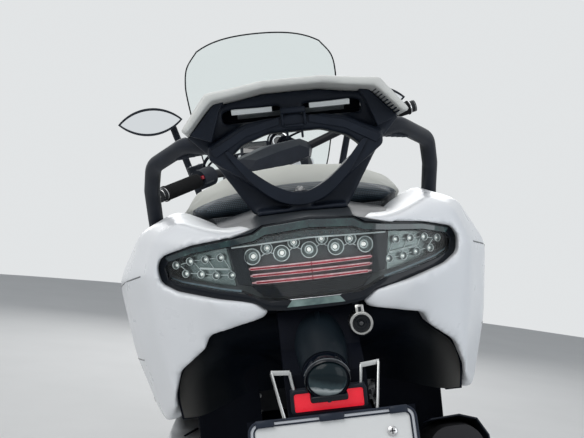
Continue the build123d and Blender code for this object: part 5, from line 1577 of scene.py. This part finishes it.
def build_engine():
    bm = bmesh.new()
    case = frame_on((CASE_X, *PULLEY), LEFTWARDS)
    add_lathe(bm, [(0, 0), (66, 0), (66, 2.5), (62, 5.5), (46, 7.5), (44, 5), (38, 5), (36, 7.5), (0, 8.5)],
              case, 56, 0)
    for n in range(16):
        turn = Matrix.Rotation(2 * pi * n / 16, 4, "X")
        spot = Vector((CASE_X - 6, *PULLEY)) + turn @ Vector((0, 0, 52))
        add_block(bm, spot, (4, 4, 16), turn @ turned(24), 0.8, 1)
    hub = frame_on((CASE_X, 0, REAR_R), LEFTWARDS)
    add_lathe(bm, [(0, 0), (40, 0), (40, 2), (34, 5), (22, 5.6), (18, 3.4), (0, 3.4)], hub, 48, 0)
    for n in range(7):
        share = (n + 0.5) / 7
        add_block(bm, (CASE_X - 1, 60 + 260 * share, 300 + 16 * share), (5, 7, 64 + 40 * share), turned(16), 1.4, 0)
    rim = []
    for (y, z), r, first, last in (((0, REAR_R), 50, 95, 265), (PULLEY, 84, -85, 95)):
        for n in range(6):
            turn = radians(first + (last - first) * n / 5)
            rim.append((y + r * cos(turn), z + r * sin(turn)))
    for y, z in rim + [(130, 348), (260, 376), (150, 234), (280, 226)]:
        add_screw(bm, Vector((CASE_SCREW_X, y, z)), Vector((-1, 0, 0)), 5.0, 2)
    finish("belt_case_cover", bm, ("wheel_alloy", "deep_black", "bolt_steel"))

    bm = bmesh.new()
    side = frame_on((85, 430, 322), SIDEWAYS)
    add_lathe(bm, [(0, 0), (64, 0), (64, 8), (58, 13), (30, 15), (26, 12), (0, 12)], side, 56, 0)
    for n in range(8):
        turn = 2 * pi * (n + 0.5) / 8
        add_screw(bm, Vector((98, 430 + 52 * cos(turn), 322 + 52 * sin(turn))), Vector((1, 0, 0)), 4.6, 1)
    for n in range(9):
        add_block(bm, (0, 360 + 24 * n, 226), (150, 5, 9), edge=1.4)
        add_block(bm, (88, 500 + 11 * n, 328), (9, 4, 132), edge=1.2)
    add_rod(bm, (52, 400, 430), (52, 520, 430), 27, segments=36, index=0)
    add_rod(bm, (52, 392, 430), (52, 402, 430), 22, segments=36, index=1)
    add_lathe(bm, [(0, 0), (15, 0), (15, 6), (17, 7), (17, 13), (14, 15), (0, 15)], frame_on((88, 560, 262), SIDEWAYS),
              24, 2)
    finish("engine_details", bm, ("cast_alloy", "bolt_steel", "deep_black"), edge=0.6)

    bm = bmesh.new()
    for n in range(4):
        found = on_surface("air_box", *from_side(-1, -134 + 22 * n, 540))
        if found:
            add_block(bm, found[0], (34, 8, 3.0), pointing(found[1]) @ turned(70, "Z"), 1.4, 0)
    for y, z in ((-110, 470), (-40, 440), (120, 446), (200, 470), (150, 560), (0, 568)):
        cast_screw(bm, "air_box", *from_side(-1, y, z), 4.8, 1)
    side_seam(bm, "air_box", -1, (-140, 505), (230, 505), 22, 1.6)
    for n in range(4):
        start, end = Vector((-206 + 2 * n, -600, 600 - 9 * n)), Vector((-182 + 2 * n, -600, 606 - 9 * n))
        add_seam(bm, "air_box", between(start, end, 5), (0, 1, 0), 2.4)
    snorkel = bend_line([(-190, 232, 520), (-180, 268, 528), (-150, 300, 500), (-124, 316, 452)], 6)
    add_cord(bm, snorkel, 19, 20, 2)
    finish("air_box_details", bm, ("deep_black", "bolt_steel", "grip_rubber"))


MUFFLER_FRONT = Vector((172, 330, 335))
MUFFLER_REAR = Vector((172, -235, 518))


def build_exhaust():
    across = Vector((1, 0, 0))
    heading = (MUFFLER_REAR - MUFFLER_FRONT).normalized()
    rise = heading.cross(across)

    def at(share, out, up):
        return MUFFLER_FRONT.lerp(MUFFLER_REAR, share) + across * out + rise * up

    bm = bmesh.new()
    section = [(-28, 78), (12, 80), (36, 72), (49, 48), (50, 0), (48, -44)]
    rows = [[at(share, out, up) for out, up in section] for share in (0.24, 0.3, 0.6, 0.9, 0.97)]
    add_sheet(bm, rows, 2.4, 0)
    turn = Matrix([across, heading, across.cross(heading)]).transposed().to_4x4()
    for n in range(7):
        add_block(bm, at(0.4 + 0.055 * n, 50.6, 8), (3, 9, 52), turn @ turned(18), 1.0, 1)
    for share, up in ((0.3, 34), (0.3, -26), (0.86, 34), (0.86, -26)):
        add_screw(bm, at(share, 51, up), across, 5.0, 2)
    finish("muffler_shield", bm, ("satin_black", "deep_black", "bolt_steel"), edge=0.4)

    bm = bmesh.new()
    cap = frame_on(MUFFLER_REAR, pointing(heading))
    add_lathe(bm, [(33, -3), (33, 3), (30, 6), (25, 6), (23, 3), (23, -3)], cap, 40, 0)
    add_lathe(bm, [(17, -4), (19, -4), (19, 16), (18.2, 17), (16, 17), (15.4, 16), (15.4, 1), (0, 1)], cap, 36, 1)
    for n in range(3):
        angle = 2 * pi * n / 3
        add_screw(bm, cap @ Vector((27.5 * cos(angle), 27.5 * sin(angle), 5.5)), heading, 3.6, 1)
    neck = frame_on(MUFFLER_FRONT, pointing(-heading))
    add_lathe(bm, [(19, -4), (27, -4), (29, 0), (29, 12), (26, 15), (19, 15)], neck, 32, 0)
    add_block(bm, neck @ Vector((0, 32, 5)), (9, 14, 12), neck.to_3x3().to_4x4(), 1.0, 1)
    finish("muffler_ends", bm, ("muffler_black", "bolt_steel"))


LEG_X = 95
CALIPER_R = 128
CALIPER_ANGLE = radians(28)


def on_leg(side, z):
    """Middle of a fork leg at a height."""
    return Vector((side * LEG_X, FRONT_HUB.y - (z - FRONT_HUB.z) * sin(RAKE) / cos(RAKE), z))


def build_front_details():
    bm = bmesh.new()
    for side in SIDES:
        outwards = SIDEWAYS if side > 0 else LEFTWARDS
        seal = frame_on(on_leg(side, 462), pointing(STEER_DIR))
        add_lathe(bm, [(18.6, -4), (24.6, -4), (25, 0), (24, 4), (24.6, 7), (22, 12), (18.6, 13)], seal, 32, 0)
        for z in (300, 440):
            ring = frame_on(on_leg(side, z), pointing(STEER_DIR))
            add_lathe(bm, [(23.1, -3), (24.4, -2), (24.4, 2), (23.1, 3)], ring, 32, 1)
        axle = frame_on((side * 124.5, FRONT_HUB.y, FRONT_HUB.z), outwards)
        add_lathe(bm, [(0, 0), (15, 0), (15, 1.6), (12.5, 2.2), (12.5, 7), (11, 9), (6, 9), (5, 6), (0, 6)], axle, 6, 2)
        ear = FRONT_HUB + STEER_DIR * 240.5
        for dy, dz in ((-10, 14), (12, 8)):
            add_screw(bm, ear + Vector((side * (LEG_X + 22), dy, dz)), Vector((side, 0, 0)), 5, 2)
        hose = bend_line([(side * 66, 1438, 372), (side * 88, 1420, 430), (side * 112, 1400, 520),
                          (side * 100, 1352, 610), (side * 56, 1322, 660)], 6)
        add_cord(bm, hose, 3.4, 10, 0)
        caliper = FRONT_HUB + Vector((side * 71.2, -CALIPER_R * cos(CALIPER_ANGLE), CALIPER_R * sin(CALIPER_ANGLE)))
        for shift in (-24, 24):
            piston = frame_on(caliper + Vector((0, shift * 0.47, shift * 0.88)), outwards)
            add_lathe(bm, [(0, 0), (13, 0), (13, 2.2), (10.5, 4.4), (0, 4.6)], piston, 28, 1)
        for shift in (-36, 0, 36):
            spot = caliper + Vector((0, shift * 0.47 - 12, shift * 0.88 + 6))
            add_screw(bm, spot, Vector((side, 0, 0)), 4.2, 2)
    finish("fork_details", bm, ("deep_black", "cast_alloy", "bolt_steel"), "steering", STEERED)


def build_stands():
    bm = bmesh.new()
    add_spring(bm, (-132, 584, 196), (-124, 636, 300), 6.5, 1.5, 12)
    finish("side_stand_spring", bm, ("bolt_steel",))
    bm = bmesh.new()
    for side in SIDES:
        add_rod(bm, (side * 92, 318, 188), (side * 110, 318, 188), 4.0, segments=12, index=1)
    add_spring(bm, (60, 320, 190), (60, 420, 236), 6.0, 1.5, 12)
    finish("centre_stand_spring", bm, ("bolt_steel", "frame_paint"))


# Operators

class SCOOTER_OT_finishes(bpy.types.Operator):
    """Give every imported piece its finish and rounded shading."""
    bl_idname = "scooter.finishes"
    bl_label = "Finishes"

    def execute(self, context):
        make_finishes(context.scene.scooter_colours)
        for finish_name, names in CAD_FINISH.items():
            for name in names:
                soften(NODES[name])
                NODES[name].data.materials.clear()
                NODES[name].data.materials.append(FINISH[finish_name])
        return {"FINISHED"}


SHARP_ANGLE = radians(28)
ROUNDED = {"tail_panels": 5.0, "nose_cowl": 5.0, "rack_cover": 2.5, "tail_lamp_bezel": 1.5, "front_fender": 2.0,
           "lower_skirts": 3.0, "side_covers": 4.0, "rack_frame": 1.5, "handlebar_cover": 4.0,
           "instrument_cluster": 5.0, "exhaust": 4.0, "tail_top_cover": 2.5, "air_box": 4.0}


def soften(piece):
    """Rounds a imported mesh's edges and its shading up to the sharp ones."""
    piece.data.shade_smooth()
    weld = piece.modifiers.new("weld", "WELD")
    weld.merge_threshold = WELD_MERGE
    if piece.name in ROUNDED:
        round_edges(piece, ROUNDED[piece.name], 3, 8)
    split = piece.modifiers.new("sharp", "EDGE_SPLIT")
    split.use_edge_angle = True
    split.split_angle = SHARP_ANGLE
    split.use_edge_sharp = False


class SCOOTER_OT_tail_lamp(bpy.types.Operator):
    """Fill the tail lamp with cups, channels, dividers and bar edges."""
    bl_idname = "scooter.tail_lamp"
    bl_label = "Tail lamp"

    def execute(self, context):
        build_tail_lamp(context.scene.scooter_sizes)
        return {"FINISHED"}


class SCOOTER_OT_rack(bpy.types.Operator):
    """Add the rack's louvres, ribs, bands and bolt."""
    bl_idname = "scooter.rack"
    bl_label = "Rack"

    def execute(self, context):
        build_rack()
        return {"FINISHED"}


class SCOOTER_OT_plate(bpy.types.Operator):
    """Add the plate's frame, brackets, lamp and camera rings."""
    bl_idname = "scooter.plate"
    bl_label = "Plate"

    def execute(self, context):
        build_plate()
        return {"FINISHED"}


class SCOOTER_OT_seat(bpy.types.Operator):
    """Pad the seat and split its cover from its woven band."""
    bl_idname = "scooter.seat"
    bl_label = "Seat"

    def execute(self, context):
        build_seat(context.scene.scooter_sizes)
        return {"FINISHED"}


class SCOOTER_OT_wheels(bpy.types.Operator):
    """Tread the tyres and add the wheel details."""
    bl_idname = "scooter.wheels"
    bl_label = "Wheels"

    def execute(self, context):
        for wheel in WHEELS:
            build_tyre(wheel, context.scene.scooter_sizes)
            build_wheel_parts(wheel)
        return {"FINISHED"}


class SCOOTER_OT_cockpit(bpy.types.Operator):
    """Add the grips, switches, mirrors, screen edge and dials."""
    bl_idname = "scooter.cockpit"
    bl_label = "Cockpit"

    def execute(self, context):
        build_bars()
        build_mirrors()
        build_screen()
        build_dash()
        return {"FINISHED"}


class SCOOTER_OT_body(bpy.types.Operator):
    """Add the seams, screws, liner, headlamp units, floor mats and pegs of the body."""
    bl_idname = "scooter.body"
    bl_label = "Body trim"

    def execute(self, context):
        build_tail_trim()
        build_headlamps()
        build_nose_trim()
        build_floor()
        return {"FINISHED"}


class SCOOTER_OT_running_gear(bpy.types.Operator):
    """Add the shocks, engine, exhaust, fork and stand details."""
    bl_idname = "scooter.running_gear"
    bl_label = "Running gear"

    def execute(self, context):
        build_shocks()
        build_engine()
        build_exhaust()
        build_front_details()
        build_stands()
        return {"FINISHED"}


class SCOOTER_OT_stage(bpy.types.Operator):
    """Set the floor, the soft lights and the camera."""
    bl_idname = "scooter.stage"
    bl_label = "Stage"

    def execute(self, context):
        make_stage()
        make_camera()
        return {"FINISHED"}


FLOOR_R = 6.0
FLOOR_SINK = 0.0005
LIGHTS = (
    ("key", (-1.6, -2.4, 3.0), (0, -0.6, 0.8), (2.4, 2.4), 52.0, (1.0, 0.99, 0.97)),
    ("fill", (2.6, -2.6, 1.6), (0, -0.6, 0.8), (2.0, 2.6), 26.0, (0.92, 0.96, 1.0)),
    ("top", (0.0, 0.6, 3.4), (0, 0, 0.6), (3.0, 3.6), 24.0, (1, 1, 1)),
    ("front", (0.0, 3.4, 1.8), (0, 0.4, 0.7), (3.0, 1.8), 30.0, (1, 1, 1)),
)


def area_light(name, place, aim, size, power, colour):
    data = bpy.data.lights.new(name, "AREA")
    data.shape = "RECTANGLE"
    data.size, data.size_y = size
    data.energy = power
    data.color = colour
    lamp = new_object(name, data)
    lamp.location = place
    lamp.rotation_euler = (Vector(aim) - Vector(place)).to_track_quat("-Z", "Y").to_euler()
    lamp.visible_transmission = False


SKY_FILL = {"Color": (0.75, 0.8, 0.86, 1), "Strength": 0.36}
SKY_SEEN = {"Color": (0.8, 0.82, 0.83, 1), "Strength": 0.95}


def make_stage():
    """Pale floor, pale background and four soft lights."""
    bm = bmesh.new()
    bmesh.ops.create_circle(bm, cap_ends=True, segments=64, radius=FLOOR_R)
    mesh = bpy.data.meshes.new("floor")
    bm.to_mesh(mesh)
    bm.free()
    floor = new_object("floor", mesh)
    floor.location.z = -FLOOR_SINK
    tinted("floor_matt", (0.8, 0.8, 0.79), 0.9, 3.0, 4.0, [(0.3, (0.79, 0.79, 0.78)), (0.7, (0.82, 0.82, 0.81))])
    mesh.materials.append(FINISH["floor_matt"])

    world = bpy.data.worlds.new("studio")
    bpy.context.scene.world = world
    world.use_nodes = True
    tree = world.node_tree
    tree.nodes.clear()
    path = tree.nodes.new("ShaderNodeLightPath")
    seen = maths(tree, "MAXIMUM", path.outputs["Is Camera Ray"], path.outputs["Is Transmission Ray"])
    seen = maths(tree, "MAXIMUM", seen, path.outputs["Is Glossy Ray"])
    fill = node(tree, "ShaderNodeBackground", **SKY_FILL)
    pale = node(tree, "ShaderNodeBackground", **SKY_SEEN)
    mixed(tree, seen, fill, pale, tree.nodes.new("ShaderNodeOutputWorld"))
    for light in LIGHTS:
        area_light(*light)


CAMERA_YAW = radians(-2.96)
CAMERA_PITCH = radians(1.5)
CAMERA_ROLL = radians(6.08)
CAMERA_LENS = 59.73
CAMERA_SENSOR = 36.0
CAMERA_NEAR = 0.05
CAMERA_ASIDE, CAMERA_BEHIND, CAMERA_HEIGHT = 0.265, 1.492, 0.891


def make_camera():
    """The camera where the scooter was seen from, rolled a little."""
    ahead = Vector((-sin(CAMERA_YAW), cos(CAMERA_YAW), 0))
    right = Vector((cos(CAMERA_YAW), sin(CAMERA_YAW), 0))
    up = Vector((0, 0, 1))
    look = ahead * cos(CAMERA_PITCH) - up * sin(CAMERA_PITCH)
    lifted = up * cos(CAMERA_PITCH) + ahead * sin(CAMERA_PITCH)
    side = right * cos(CAMERA_ROLL) + lifted * sin(CAMERA_ROLL)
    top = lifted * cos(CAMERA_ROLL) - right * sin(CAMERA_ROLL)
    origin = PLACE.translation
    data = bpy.data.cameras.new("camera")
    data.lens = CAMERA_LENS
    data.sensor_width = CAMERA_SENSOR
    data.clip_start = CAMERA_NEAR
    camera = new_object("camera", data)
    turn = Matrix([side, top, -look]).transposed().to_4x4()
    camera.matrix_world = frame_on((origin.x - CAMERA_ASIDE, origin.y - CAMERA_BEHIND, CAMERA_HEIGHT), turn)
    bpy.context.scene.camera = camera
    bpy.context.scene.view_settings.view_transform = "Standard"


OPERATORS = (SCOOTER_OT_finishes, SCOOTER_OT_tail_lamp, SCOOTER_OT_rack, SCOOTER_OT_plate,
             SCOOTER_OT_seat, SCOOTER_OT_wheels, SCOOTER_OT_cockpit, SCOOTER_OT_body, SCOOTER_OT_running_gear,
             SCOOTER_OT_stage)


class SCOOTER_PT_looks(bpy.types.Panel):
    """Buttons that build the scooter's looks."""
    bl_label = "Scooter looks"
    bl_idname = "SCOOTER_PT_looks"
    bl_space_type = "VIEW_3D"
    bl_region_type = "UI"
    bl_category = "Scooter"

    def draw(self, context):
        for values in (context.scene.scooter_colours, context.scene.scooter_sizes):
            for prop in values.bl_rna.properties:
                if prop.identifier not in {"rna_type", "name"}:
                    self.layout.prop(values, prop.identifier)
        for operator in OPERATORS:
            self.layout.operator(operator.bl_idname)


CLASSES = (ScooterColours, ScooterSizes) + OPERATORS + (SCOOTER_PT_looks,)


def register():
    for cls in CLASSES:
        bpy.utils.register_class(cls)
    bpy.types.Scene.scooter_colours = PointerProperty(type=ScooterColours)
    bpy.types.Scene.scooter_sizes = PointerProperty(type=ScooterSizes)


def unregister():
    del bpy.types.Scene.scooter_sizes
    del bpy.types.Scene.scooter_colours
    for cls in reversed(CLASSES):
        bpy.utils.unregister_class(cls)


def main():
    register()
    for operator in OPERATORS:
        area, _, name = operator.bl_idname.partition(".")
        getattr(getattr(bpy.ops, area), name)()


if __name__ == "__main__":
    main()
